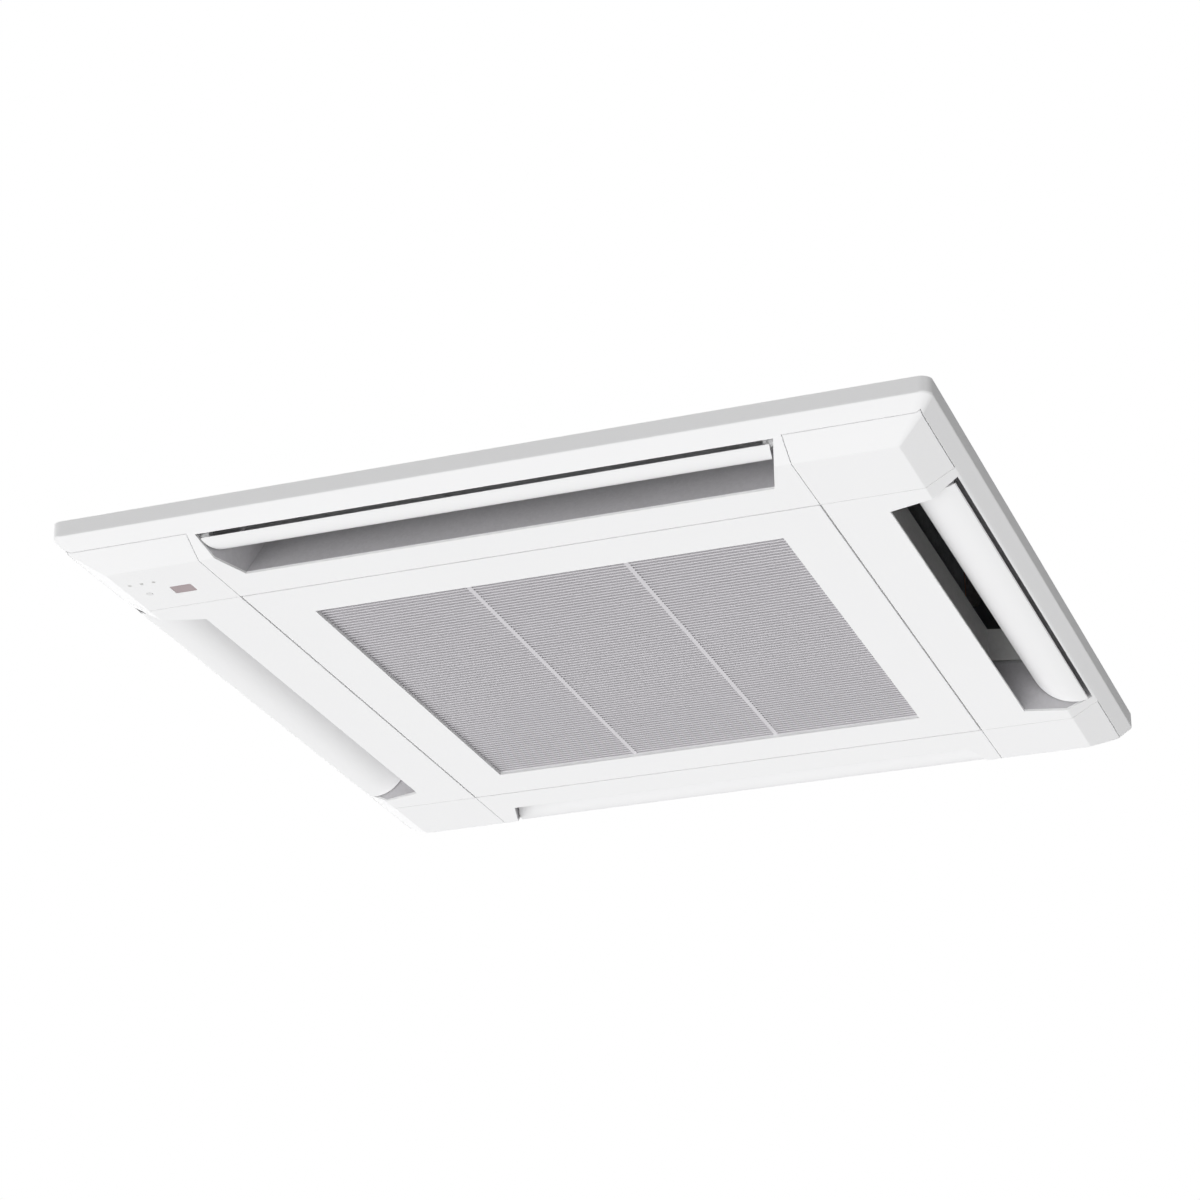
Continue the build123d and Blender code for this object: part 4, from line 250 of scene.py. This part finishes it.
def head_at(fasteners, spot, outward, radius, height, flange):
    """Add one flanged hexagon head with a bevelled top at a spot, facing outward."""
    facets = 24
    facet_turn = 360 // facets
    face_z = Vector(outward).normalized()
    face_x = face_z.orthogonal().normalized()
    face_y = face_z.cross(face_x)
    seat = Matrix((face_x, face_y, face_z)).transposed().to_4x4()
    seat.translation = Vector(spot)
    rings = []
    # each ring's corners, reach and height, from the seat up
    for sides, r, h in (
        (facets, flange, 0.0),
        (facets, flange, height * 0.22),
        (6, radius, height * 0.30),
        (6, radius, height * 0.88),
        (6, radius * 0.86, height),
    ):
        ring = []
        for i in range(facets):
            if sides == facets:
                reach = r
            else:
                off = (i * facet_turn) % 60 - 30
                reach = r * math.cos(math.radians(30)) / math.cos(math.radians(off))
            angle = math.radians(i * facet_turn)
            point = Vector((reach * math.cos(angle), reach * math.sin(angle), h))
            ring.append(fasteners.verts.new(seat @ point))
        rings.append(ring)
    for lower, upper in zip(rings, rings[1:]):
        for i in range(facets):
            j = (i + 1) % facets
            fasteners.faces.new((lower[i], lower[j], upper[j], upper[i]))
    fasteners.faces.new(rings[-1])
    fasteners.faces.new(list(reversed(rings[0])))


def fixed_piece(name, body, material, shape):
    """Turn a bmesh into a piece that rides on a body, with its material and slot."""
    mesh = bpy.data.meshes.new(name)
    shape.to_mesh(mesh)
    shape.free()
    piece = bpy.data.objects.new(name, mesh)
    bpy.context.scene.collection.objects.link(piece)
    mesh.materials.append(material)
    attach(piece, body)
    return piece


screw_zinc = galvanised("screw_zinc", (0.70, 0.68, 0.60), rough=0.30, crystal=900)
screw_head = (0.0035, 0.0024, 0.0050)
casing_half = 0.420
roof_top = 0.261
roof_screw_reach = 0.411
roof_screw_spots = (-0.27, 0, 0.27)
seam_screw_across = 0.346
seam_screw_heights = (0.045, 0.130, 0.232)
heads = bmesh.new()
for height in seam_screw_heights:
    for across in (-seam_screw_across, seam_screw_across):
        for side in (-1, 1):
            head_at(heads, (across, side * casing_half, height), (0, side, 0), *screw_head)
            head_at(heads, (side * casing_half, across, height), (side, 0, 0), *screw_head)
for along in roof_screw_spots:
    for side in (-1, 1):
        head_at(heads, (along, side * roof_screw_reach, roof_top), (0, 0, 1), *screw_head)
        head_at(heads, (side * roof_screw_reach, along, roof_top), (0, 0, 1), *screw_head)
fixed_piece("casing_screws", "unit", screw_zinc, heads)

# ---------------------------------------------------------------- hanging lugs
# Four pressed angles of thicker galvanised steel, each bolted to a corner plate with
# four bolts, with a hole for the hanging rod in its arm.
lug_zinc = galvanised("lug_zinc", (0.62, 0.63, 0.65), rough=0.36, crystal=200)
dress(lug_zinc, "hanger_brackets")
bolt_head = (0.0046, 0.0036, 0.0056)
corner_plate_reach = 0.54094
lug_sheet = 0.0025
lug_face = corner_plate_reach + lug_sheet
lug_bolt_across = 0.020
lug_bolt_heights = (0.0905, 0.1225)
bolts = bmesh.new()
for corner_turn in (45, 135, 225, 315):
    out_x = math.cos(math.radians(corner_turn))
    out_y = math.sin(math.radians(corner_turn))
    for across in (-lug_bolt_across, lug_bolt_across):
        for height in lug_bolt_heights:
            spot = (out_x * lug_face - out_y * across, out_y * lug_face + out_x * across, height)
            head_at(bolts, spot, (out_x, out_y, 0), *bolt_head)
fixed_piece("lug_bolts", "unit", screw_zinc, bolts)

# ---------------------------------------------------------------- insulation
# Closed-cell foam sheet, pale grey, glued inside the casing's walls and roof. Its cut
# skin shows small bubbles.


def foamed(name, colour, cell, darker=0.85, depth=0.0003, rough=0.9):
    """Foam: closed cells as small bumps, with a faint change of shade from cell to cell."""
    m = bpy.data.materials.new(name)
    m.use_nodes = True
    n = m.node_tree.nodes
    skin = n["Principled BSDF"]
    place = n.new("ShaderNodeTexCoord")
    cells = n.new("ShaderNodeTexVoronoi")
    cells.inputs["Scale"].default_value = 1 / cell
    shade = n.new("ShaderNodeSeparateColor")
    tint = two_tones(m, colour, darker)
    relief = n.new("ShaderNodeBump")
    relief.invert = True
    relief.inputs["Strength"].default_value = 0.4
    relief.inputs["Distance"].default_value = depth
    broad = n.new("ShaderNodeTexNoise")
    broad.inputs["Scale"].default_value = 9
    gloss = n.new("ShaderNodeMapRange")
    gloss.inputs["To Min"].default_value = rough - 0.08
    gloss.inputs["To Max"].default_value = min(1.0, rough + 0.08)
    wire(
        m,
        ((place, "Object"), (cells, "Vector")),
        ((place, "Object"), (broad, "Vector")),
        ((cells, "Color"), (shade, "Color")),
        ((shade, "Blue"), (tint, 0)),
        ((tint, 2), (skin, "Base Color")),
        ((broad, "Fac"), (gloss, "Value")),
        ((gloss, "Result"), (skin, "Roughness")),
        ((cells, "Distance"), (relief, "Height")),
        ((relief, "Normal"), (skin, "Normal")),
    )
    return m


dress(foamed("lining_foam", (0.60, 0.60, 0.61), cell=0.0016), "foam_liner")

# ---------------------------------------------------------------- fan motor
# Cast and painted motor on a square plate, with a ground shaft. It hangs by four rubber
# grommets from a steel bracket that is spot-welded to the roof.


def cast_paint(name, colour, rough):
    """Painted casting: orange-peel gloss over a slightly uneven surface."""
    m = bpy.data.materials.new(name)
    m.use_nodes = True
    n = m.node_tree.nodes
    skin = n["Principled BSDF"]
    place = n.new("ShaderNodeTexCoord")
    peel = n.new("ShaderNodeTexNoise")
    peel.inputs["Scale"].default_value = 420
    peel.inputs["Detail"].default_value = 1
    uneven = n.new("ShaderNodeTexNoise")
    uneven.inputs["Scale"].default_value = 35
    tint = two_tones(m, colour, 0.80)
    gloss = n.new("ShaderNodeMapRange")
    gloss.inputs["To Min"].default_value = rough - 0.08
    gloss.inputs["To Max"].default_value = rough + 0.10
    relief = n.new("ShaderNodeBump")
    relief.inputs["Strength"].default_value = 0.35
    relief.inputs["Distance"].default_value = 0.0001
    wire(
        m,
        ((place, "Object"), (peel, "Vector")),
        ((place, "Object"), (uneven, "Vector")),
        ((uneven, "Fac"), (tint, 0)),
        ((tint, 2), (skin, "Base Color")),
        ((uneven, "Fac"), (gloss, "Value")),
        ((gloss, "Result"), (skin, "Roughness")),
        ((peel, "Fac"), (relief, "Height")),
        ((relief, "Normal"), (skin, "Normal")),
    )
    return m


def machined(name, colour, rough, lines=2600):
    """Turned or ground metal: fine rings round the piece and a little staining."""
    m = bpy.data.materials.new(name)
    m.use_nodes = True
    n = m.node_tree.nodes
    skin = n["Principled BSDF"]
    place = n.new("ShaderNodeTexCoord")
    stretch = n.new("ShaderNodeMapping")
    stretch.inputs["Scale"].default_value = (lines / 40, lines / 40, lines)
    marks = n.new("ShaderNodeTexNoise")
    marks.inputs["Scale"].default_value = 1.0
    stain = n.new("ShaderNodeTexNoise")
    stain.inputs["Scale"].default_value = 60
    stain.inputs["Detail"].default_value = 5
    tint = two_tones(m, colour, 0.74)
    gloss = n.new("ShaderNodeMapRange")
    gloss.inputs["To Min"].default_value = rough - 0.06
    gloss.inputs["To Max"].default_value = rough + 0.12
    relief = n.new("ShaderNodeBump")
    relief.inputs["Strength"].default_value = 0.3
    relief.inputs["Distance"].default_value = 0.00002
    wire(
        m,
        ((place, "Object"), (stretch, "Vector")),
        ((stretch, "Vector"), (marks, "Vector")),
        ((place, "Object"), (stain, "Vector")),
        ((stain, "Fac"), (tint, 0)),
        ((tint, 2), (skin, "Base Color")),
        ((marks, "Fac"), (gloss, "Value")),
        ((gloss, "Result"), (skin, "Roughness")),
        ((marks, "Fac"), (relief, "Height")),
        ((relief, "Normal"), (skin, "Normal")),
    )
    skin.inputs["Metallic"].default_value = 0.95
    return m


def rubbery(name, colour):
    """Moulded rubber: dull, with a dusty bloom."""
    m = foamed(name, colour, cell=0.0009, darker=0.7, depth=0.00006, rough=0.78)
    m.node_tree.nodes["Principled BSDF"].inputs["Specular IOR Level"].default_value = 0.3
    return m


dress(lug_zinc, "motor_bracket")
black_rubber = rubbery("grommet_rubber_black", (0.035, 0.035, 0.037))
dress(black_rubber, "motor_grommets")
dress(cast_paint("motor_enamel", (0.14, 0.15, 0.16), rough=0.45), "fan_motor")
ground_steel = machined("ground_steel", (0.60, 0.60, 0.60), rough=0.26)
dress(ground_steel, "fan_shaft")

# ---------------------------------------------------------------- turbo fan
# One-piece moulding in dark glass-filled plastic: shroud, seven swept blades and a hub
# with a deep cup, held on the shaft by a nut.


def moulded(name, colour, rough, grain=1200, depth=0.00003, cloud=0.98):
    """Moulded plastic: faint cloudiness in the colour, fine texture and varied gloss."""
    m = bpy.data.materials.new(name)
    m.use_nodes = True
    n = m.node_tree.nodes
    skin = n["Principled BSDF"]
    place = n.new("ShaderNodeTexCoord")
    broad = n.new("ShaderNodeTexNoise")
    broad.inputs["Scale"].default_value = 6
    broad.inputs["Detail"].default_value = 3
    tint = two_tones(m, colour, cloud)
    fine = n.new("ShaderNodeTexNoise")
    fine.inputs["Scale"].default_value = grain
    fine.inputs["Detail"].default_value = 2
    gloss = n.new("ShaderNodeMapRange")
    gloss.inputs["To Min"].default_value = rough - 0.04
    gloss.inputs["To Max"].default_value = rough + 0.06
    relief = n.new("ShaderNodeBump")
    relief.inputs["Strength"].default_value = 0.5
    relief.inputs["Distance"].default_value = depth
    wire(
        m,
        ((place, "Object"), (broad, "Vector")),
        ((place, "Object"), (fine, "Vector")),
        ((broad, "Fac"), (tint, 0)),
        ((tint, 2), (skin, "Base Color")),
        ((broad, "Fac"), (gloss, "Value")),
        ((gloss, "Result"), (skin, "Roughness")),
        ((fine, "Fac"), (relief, "Height")),
        ((relief, "Normal"), (skin, "Normal")),
    )
    return m


fan_grey = moulded("fan_grey", (0.17, 0.18, 0.195), rough=0.55, grain=800, depth=0.00005, cloud=0.88)
dress(fan_grey, "turbo_fan")
dress(screw_zinc, "fan_nut")

# ---------------------------------------------------------------- heat exchanger
# Thin aluminium fins pressed on two columns of copper tubes and bent into a ring with
# an opening at the back right corner, closed by steel end plates.
fin_low, fin_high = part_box("coil_fins")
fin_depth = 0.036
fin_sheet = 0.00028
fin_step = 0.0028
bend_radius = 0.092
ring_middle = fin_high.x - fin_depth / 2
straight_half = ring_middle - bend_radius


def ring_spots(step, offset=0.0):
    """Spots and headings round the ring, from the back left end of the back side to the
    back end of the right side, offset outwards from the middle of the fins."""
    reach = ring_middle + offset
    spots = []
    count = int(2 * straight_half / step)
    for side_turn in (180, 270, 0, 90):
        along = Vector((math.cos(math.radians(side_turn)), math.sin(math.radians(side_turn)), 0))
        outward = Vector((along.y, -along.x, 0))
        for i in range(count):
            t = (i + 0.5 - count / 2) * step
            spots.append((outward * reach + along * t, outward))
        if side_turn != 90:
            centre = (outward + along) * straight_half
            bends = int(math.pi / 2 * bend_radius / step)
            for i in range(bends):
                angle = (i + 0.5) / bends * math.pi / 2
                facing = outward * math.cos(angle) + along * math.sin(angle)
                spots.append((centre + facing * (bend_radius + offset), facing))
    return spots


fins = bmesh.new()
for spot, outward in ring_spots(fin_step):
    across = Vector((-outward.y, outward.x, 0)) * fin_sheet / 2
    deep = outward * fin_depth / 2
    corner_points = []
    for z in (fin_low.z, fin_high.z):
        for a, b in ((-1, -1), (1, -1), (1, 1), (-1, 1)):
            point = spot + deep * a + across * b
            corner_points.append(fins.verts.new((point.x, point.y, z)))
    for quad in ((0, 1, 2, 3), (4, 7, 6, 5), (0, 4, 5, 1), (1, 5, 6, 2), (2, 6, 7, 3), (3, 7, 4, 0)):
        fins.faces.new([corner_points[i] for i in quad])
fin_metal = machined("fin_aluminium_bright", (0.80, 0.82, 0.84), rough=0.38, lines=700)
coil_block = fixed_piece("coil_fin_pack", "unit", fin_metal, fins)
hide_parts("coil_fins")

tube_rows = 8
tube_radius = 0.0046
tube_column = 0.009
tube_step = 0.015
row_step = (fin_high.z - fin_low.z) / tube_rows
copper_bright = machined("copper_bright", (0.74, 0.41, 0.26), rough=0.30, lines=900)
tubes = bpy.data.curves.new("coil_tubes", "CURVE")
tubes.dimensions = "3D"
tubes.bevel_depth = tube_radius
tubes.bevel_resolution = 2
for column in (-tube_column, tube_column):
    path = [spot for spot, _ in ring_spots(tube_step, column)]
    for row in range(tube_rows):
        run = tubes.splines.new("POLY")
        run.points.add(len(path) - 1)
        for point, spot in zip(run.points, path):
            point.co = (spot.x, spot.y, fin_low.z + (row + 0.5) * row_step, 1)
tubes.materials.append(copper_bright)
coil_tubes = bpy.data.objects.new("coil_tubes", tubes)
bpy.context.scene.collection.objects.link(coil_tubes)
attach(coil_tubes, "unit")

dress(casing_zinc, "coil_end_plates")
dress(copper_bright, "coil_return_bends")

# ---------------------------------------------------------------- refrigerant lines
# Copper gas and liquid pipe from the coil to the outside of the casing, each with a
# forged brass flare union and its nut.
dress(copper_bright, "gas_pipe", "liquid_pipe")
dress(machined("forged_brass", (0.76, 0.60, 0.30), rough=0.28, lines=1500), "flare_unions", "flare_nuts")

# ---------------------------------------------------------------- drain pan
# Pan of moulded expanded polystyrene with a smooth film on its wet side. The beads
# show as faint cells four millimetres across.
pan_beads = foamed("pan_bead", (0.84, 0.84, 0.83), cell=0.004, darker=0.95, depth=0.0002, rough=0.72)
dress(pan_beads, "drain_pan")

# ---------------------------------------------------------------- condensate pump
# Small moulded pump with a float on a stem beside it and a white drain pipe that ends
# in a socket behind the casing's back wall.
pump_grey = moulded("pump_grey", (0.25, 0.27, 0.30), rough=0.5, grain=900, depth=0.00004, cloud=0.9)
dress(pump_grey, "drain_pump", "float_stem")
dress(moulded("float_white", (0.84, 0.84, 0.82), rough=0.6, grain=500, depth=0.00008), "float_ring")
dress(moulded("drain_white", (0.80, 0.80, 0.78), rough=0.38), "drain_socket")

# ---------------------------------------------------------------- bell mouth
# Grey moulded ring that leads the air into the fan's eye, with the room sensor clipped
# under it.
dress(moulded("bell_grey", (0.55, 0.56, 0.57), rough=0.48, cloud=0.95), "bell_mouth")
black_plastic = moulded("sensor_black", (0.05, 0.05, 0.055), rough=0.5)
dress(black_plastic, "room_sensor")

# ---------------------------------------------------------------- electrical box
# Galvanised tray and lid under the bell mouth. The lid is held by two screws. Inside
# are the green control board with its components and a cream terminal block. The cable
# comes in through a rubber grommet.


def circuit(name, board_low, board_high):
    """Green lacquered board with fine tracks; what stands off it is component black."""
    margin = 0.0002
    m = bpy.data.materials.new(name)
    m.use_nodes = True
    n = m.node_tree.nodes
    skin = n["Principled BSDF"]
    place = n.new("ShaderNodeTexCoord")
    tracks = n.new("ShaderNodeTexBrick")
    tracks.inputs["Scale"].default_value = 90
    tracks.inputs["Mortar Size"].default_value = 0.012
    tracks.inputs["Color1"].default_value = (0.030, 0.150, 0.070, 1)
    tracks.inputs["Color2"].default_value = (0.040, 0.190, 0.085, 1)
    tracks.inputs["Mortar"].default_value = (0.110, 0.340, 0.150, 1)
    axes = n.new("ShaderNodeSeparateXYZ")
    above = n.new("ShaderNodeMath")
    above.operation = "GREATER_THAN"
    above.inputs[1].default_value = board_low - margin
    below = n.new("ShaderNodeMath")
    below.operation = "LESS_THAN"
    below.inputs[1].default_value = board_high + margin
    on_board = n.new("ShaderNodeMath")
    on_board.operation = "MULTIPLY"
    patches = n.new("ShaderNodeTexVoronoi")
    patches.inputs["Scale"].default_value = 28
    part_tint = n.new("ShaderNodeMix")
    part_tint.data_type = "RGBA"
    part_tint.inputs[6].default_value = (0.025, 0.025, 0.028, 1)
    part_tint.inputs[7].default_value = (0.060, 0.060, 0.065, 1)
    shade = n.new("ShaderNodeSeparateColor")
    both = n.new("ShaderNodeMix")
    both.data_type = "RGBA"
    gloss = n.new("ShaderNodeMapRange")
    gloss.inputs["To Min"].default_value = 0.42
    gloss.inputs["To Max"].default_value = 0.26
    relief = n.new("ShaderNodeBump")
    relief.inputs["Strength"].default_value = 0.3
    relief.inputs["Distance"].default_value = 0.00005
    wire(
        m,
        ((place, "Object"), (tracks, "Vector")),
        ((place, "Object"), (patches, "Vector")),
        ((place, "Object"), (axes, "Vector")),
        ((axes, "Z"), (above, 0)),
        ((axes, "Z"), (below, 0)),
        ((above, 0), (on_board, 0)),
        ((below, 0), (on_board, 1)),
        ((patches, "Color"), (shade, "Color")),
        ((shade, "Red"), (part_tint, 0)),
        ((on_board, 0), (both, 0)),
        ((part_tint, 2), (both, 6)),
        ((tracks, "Color"), (both, 7)),
        ((both, 2), (skin, "Base Color")),
        ((on_board, 0), (gloss, "Value")),
        ((gloss, "Result"), (skin, "Roughness")),
        ((tracks, "Fac"), (relief, "Height")),
        ((relief, "Normal"), (skin, "Normal")),
    )
    return m


box_zinc = galvanised("box_zinc", (0.68, 0.69, 0.70), rough=0.38, crystal=180)
dress(box_zinc, "control_box", "control_box_cover")
dress(circuit("main_board_green", board_low=0.0040, board_high=0.0056), "control_board")
dress(moulded("terminal_cream", (0.78, 0.74, 0.62), rough=0.5), "terminal_block")
dress(black_rubber, "cable_grommet")
lid_screw_head = (0.0032, 0.0022, 0.0042)
lid_screw_inset = 0.008
lid_low, lid_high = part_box("control_box_cover")
lid_middle = (lid_low.x + lid_high.x) / 2
lid_heads = bmesh.new()
for end in (lid_low.y + lid_screw_inset, lid_high.y - lid_screw_inset):
    head_at(lid_heads, (lid_middle, end, lid_low.z), (0, 0, -1), *lid_screw_head)
fixed_piece("lid_screws", "unit", screw_zinc, lid_heads)

# ---------------------------------------------------------------- panel seal
# Soft pale grey gasket between the panel's ducts and the casing, pressed together by
# four zinc-plated screws behind the corner covers.
dress(foamed("seal_grey", (0.52, 0.52, 0.53), cell=0.0012), "panel_seal")
dress(screw_zinc, "panel_screws")

# ---------------------------------------------------------------- decoration panel
# Frame and four clip-on corner covers, injection-moulded in white plastic with a fine
# spark-eroded texture; they look satin from a step away.
panel_white = moulded("panel_white", (0.90, 0.90, 0.905), rough=0.42)
dress(panel_white, "panel_frame")
cover_white = moulded("cover_white", (0.895, 0.895, 0.90), rough=0.42)
for corner in ("front_left", "front_right", "back_left", "back_right"):
    dress(cover_white, "corner_cover_" + corner)

# ---------------------------------------------------------------- outlet ducts
# Ducts of moulded grey foam, one behind each outlet slot, glued into the frame. The foam's
# grey is set darker, partly as painted shade for the shade deep in the slots. Each vane
# turns in a bush at one end and is driven by a small geared motor at the other.
duct_grey_and_painted_shade = foamed("duct_grey_and_painted_shade", (0.58, 0.57, 0.59), cell=0.0035, darker=0.94, depth=0.00015, rough=0.8)
dress(duct_grey_and_painted_shade, *["outlet_liner_" + side for side in ("front", "right", "back", "left")])
dress(black_plastic, "vane_bushes")
dress(machined("motor_can", (0.64, 0.64, 0.62), rough=0.32, lines=1200), "vane_motors")

# ---------------------------------------------------------------- vanes
# Four curved blades of the panel's white plastic, moulded a little glossier so that
# condensate runs off.
vane_white = moulded("vane_white", (0.885, 0.885, 0.89), rough=0.36, grain=1500, depth=0.00002)
dress(vane_white, *["vane_" + side for side in ("front", "right", "back", "left")])

# ---------------------------------------------------------------- signal parts
# Tinted receiver window, three light guides and a small button in the front left cover,
# with their board behind them.


def clear_plastic(name, colour, rough, through):
    """Transparent plastic, tinted in the mass, with faint flow marks in its gloss."""
    m = bpy.data.materials.new(name)
    m.use_nodes = True
    n = m.node_tree.nodes
    skin = n["Principled BSDF"]
    place = n.new("ShaderNodeTexCoord")
    flow = n.new("ShaderNodeTexNoise")
    flow.inputs["Scale"].default_value = 160
    tint = two_tones(m, colour, 0.9)
    gloss = n.new("ShaderNodeMapRange")
    gloss.inputs["To Min"].default_value = rough
    gloss.inputs["To Max"].default_value = rough + 0.08
    wire(
        m,
        ((place, "Object"), (flow, "Vector")),
        ((flow, "Fac"), (tint, 0)),
        ((tint, 2), (skin, "Base Color")),
        ((flow, "Fac"), (gloss, "Value")),
        ((gloss, "Result"), (skin, "Roughness")),
    )
    skin.inputs["Transmission Weight"].default_value = through
    return m


dress(clear_plastic("window_smoke", (0.50, 0.42, 0.43), rough=0.12, through=0.35), "receiver_window")
dress(clear_plastic("light_guide", (0.80, 0.80, 0.78), rough=0.25, through=0.5), "indicator_lenses")
dress(moulded("button_white", (0.78, 0.78, 0.78), rough=0.4), "manual_button")
dress(circuit("display_board_green", board_low=-0.0403, board_high=-0.0387), "display_board")

# ---------------------------------------------------------------- intake grille
# Hinged frame in the panel's white plastic, with a lattice of fine grey slats clipped
# in behind its window. The slats' grey is partly painted shade, for the shade seen through
# the lattice. It turns on two ground steel pins.
dress(panel_white, "intake_grille")
dress(ground_steel, "hinge_pins")
dress(moulded("lattice_grey", (0.64, 0.625, 0.65), rough=0.48), "grille_insert")

# ---------------------------------------------------------------- air filter
# Washable filter: a flexible dark frame with cross ribs and a woven net of fine
# plastic threads moulded into it.


def woven(name, colour, pitch):
    """Plain weave of plastic threads, as two crossed sets of fine ridges."""
    wave_at_scale_one = 0.314
    m = bpy.data.materials.new(name)
    m.use_nodes = True
    n = m.node_tree.nodes
    skin = n["Principled BSDF"]
    place = n.new("ShaderNodeTexCoord")
    warp = n.new("ShaderNodeTexWave")
    warp.bands_direction = "X"
    warp.inputs["Scale"].default_value = wave_at_scale_one / pitch
    weft = n.new("ShaderNodeTexWave")
    weft.bands_direction = "Y"
    weft.inputs["Scale"].default_value = wave_at_scale_one / pitch
    crossing = n.new("ShaderNodeMath")
    crossing.operation = "MAXIMUM"
    tint = two_tones(m, colour, 0.45)
    relief = n.new("ShaderNodeBump")
    relief.inputs["Strength"].default_value = 0.5
    relief.inputs["Distance"].default_value = 0.0002
    gloss = n.new("ShaderNodeMapRange")
    gloss.inputs["To Min"].default_value = 0.75
    gloss.inputs["To Max"].default_value = 0.55
    wire(
        m,
        ((place, "Object"), (warp, "Vector")),
        ((place, "Object"), (weft, "Vector")),
        ((warp, "Fac"), (crossing, 0)),
        ((weft, "Fac"), (crossing, 1)),
        ((crossing, 0), (tint, 0)),
        ((tint, 2), (skin, "Base Color")),
        ((crossing, 0), (gloss, "Value")),
        ((gloss, "Result"), (skin, "Roughness")),
        ((crossing, 0), (relief, "Height")),
        ((relief, "Normal"), (skin, "Normal")),
    )
    return m


dress(woven("net_threads", (0.34, 0.34, 0.35), pitch=0.0012), "air_filter_net")
dress(moulded("filter_grey", (0.26, 0.26, 0.27), rough=0.6, cloud=0.93), "air_filter_frame")

# ---------------------------------------------------------------- push catches
# Cream housings on the front wall of the intake, each with a sprung plunger that holds
# and frees the grille.
catch_cream = moulded("catch_cream", (0.76, 0.76, 0.73), rough=0.45)
dress(catch_cream, "catch_housings", "catch_plunger_left", "catch_plunger_right")
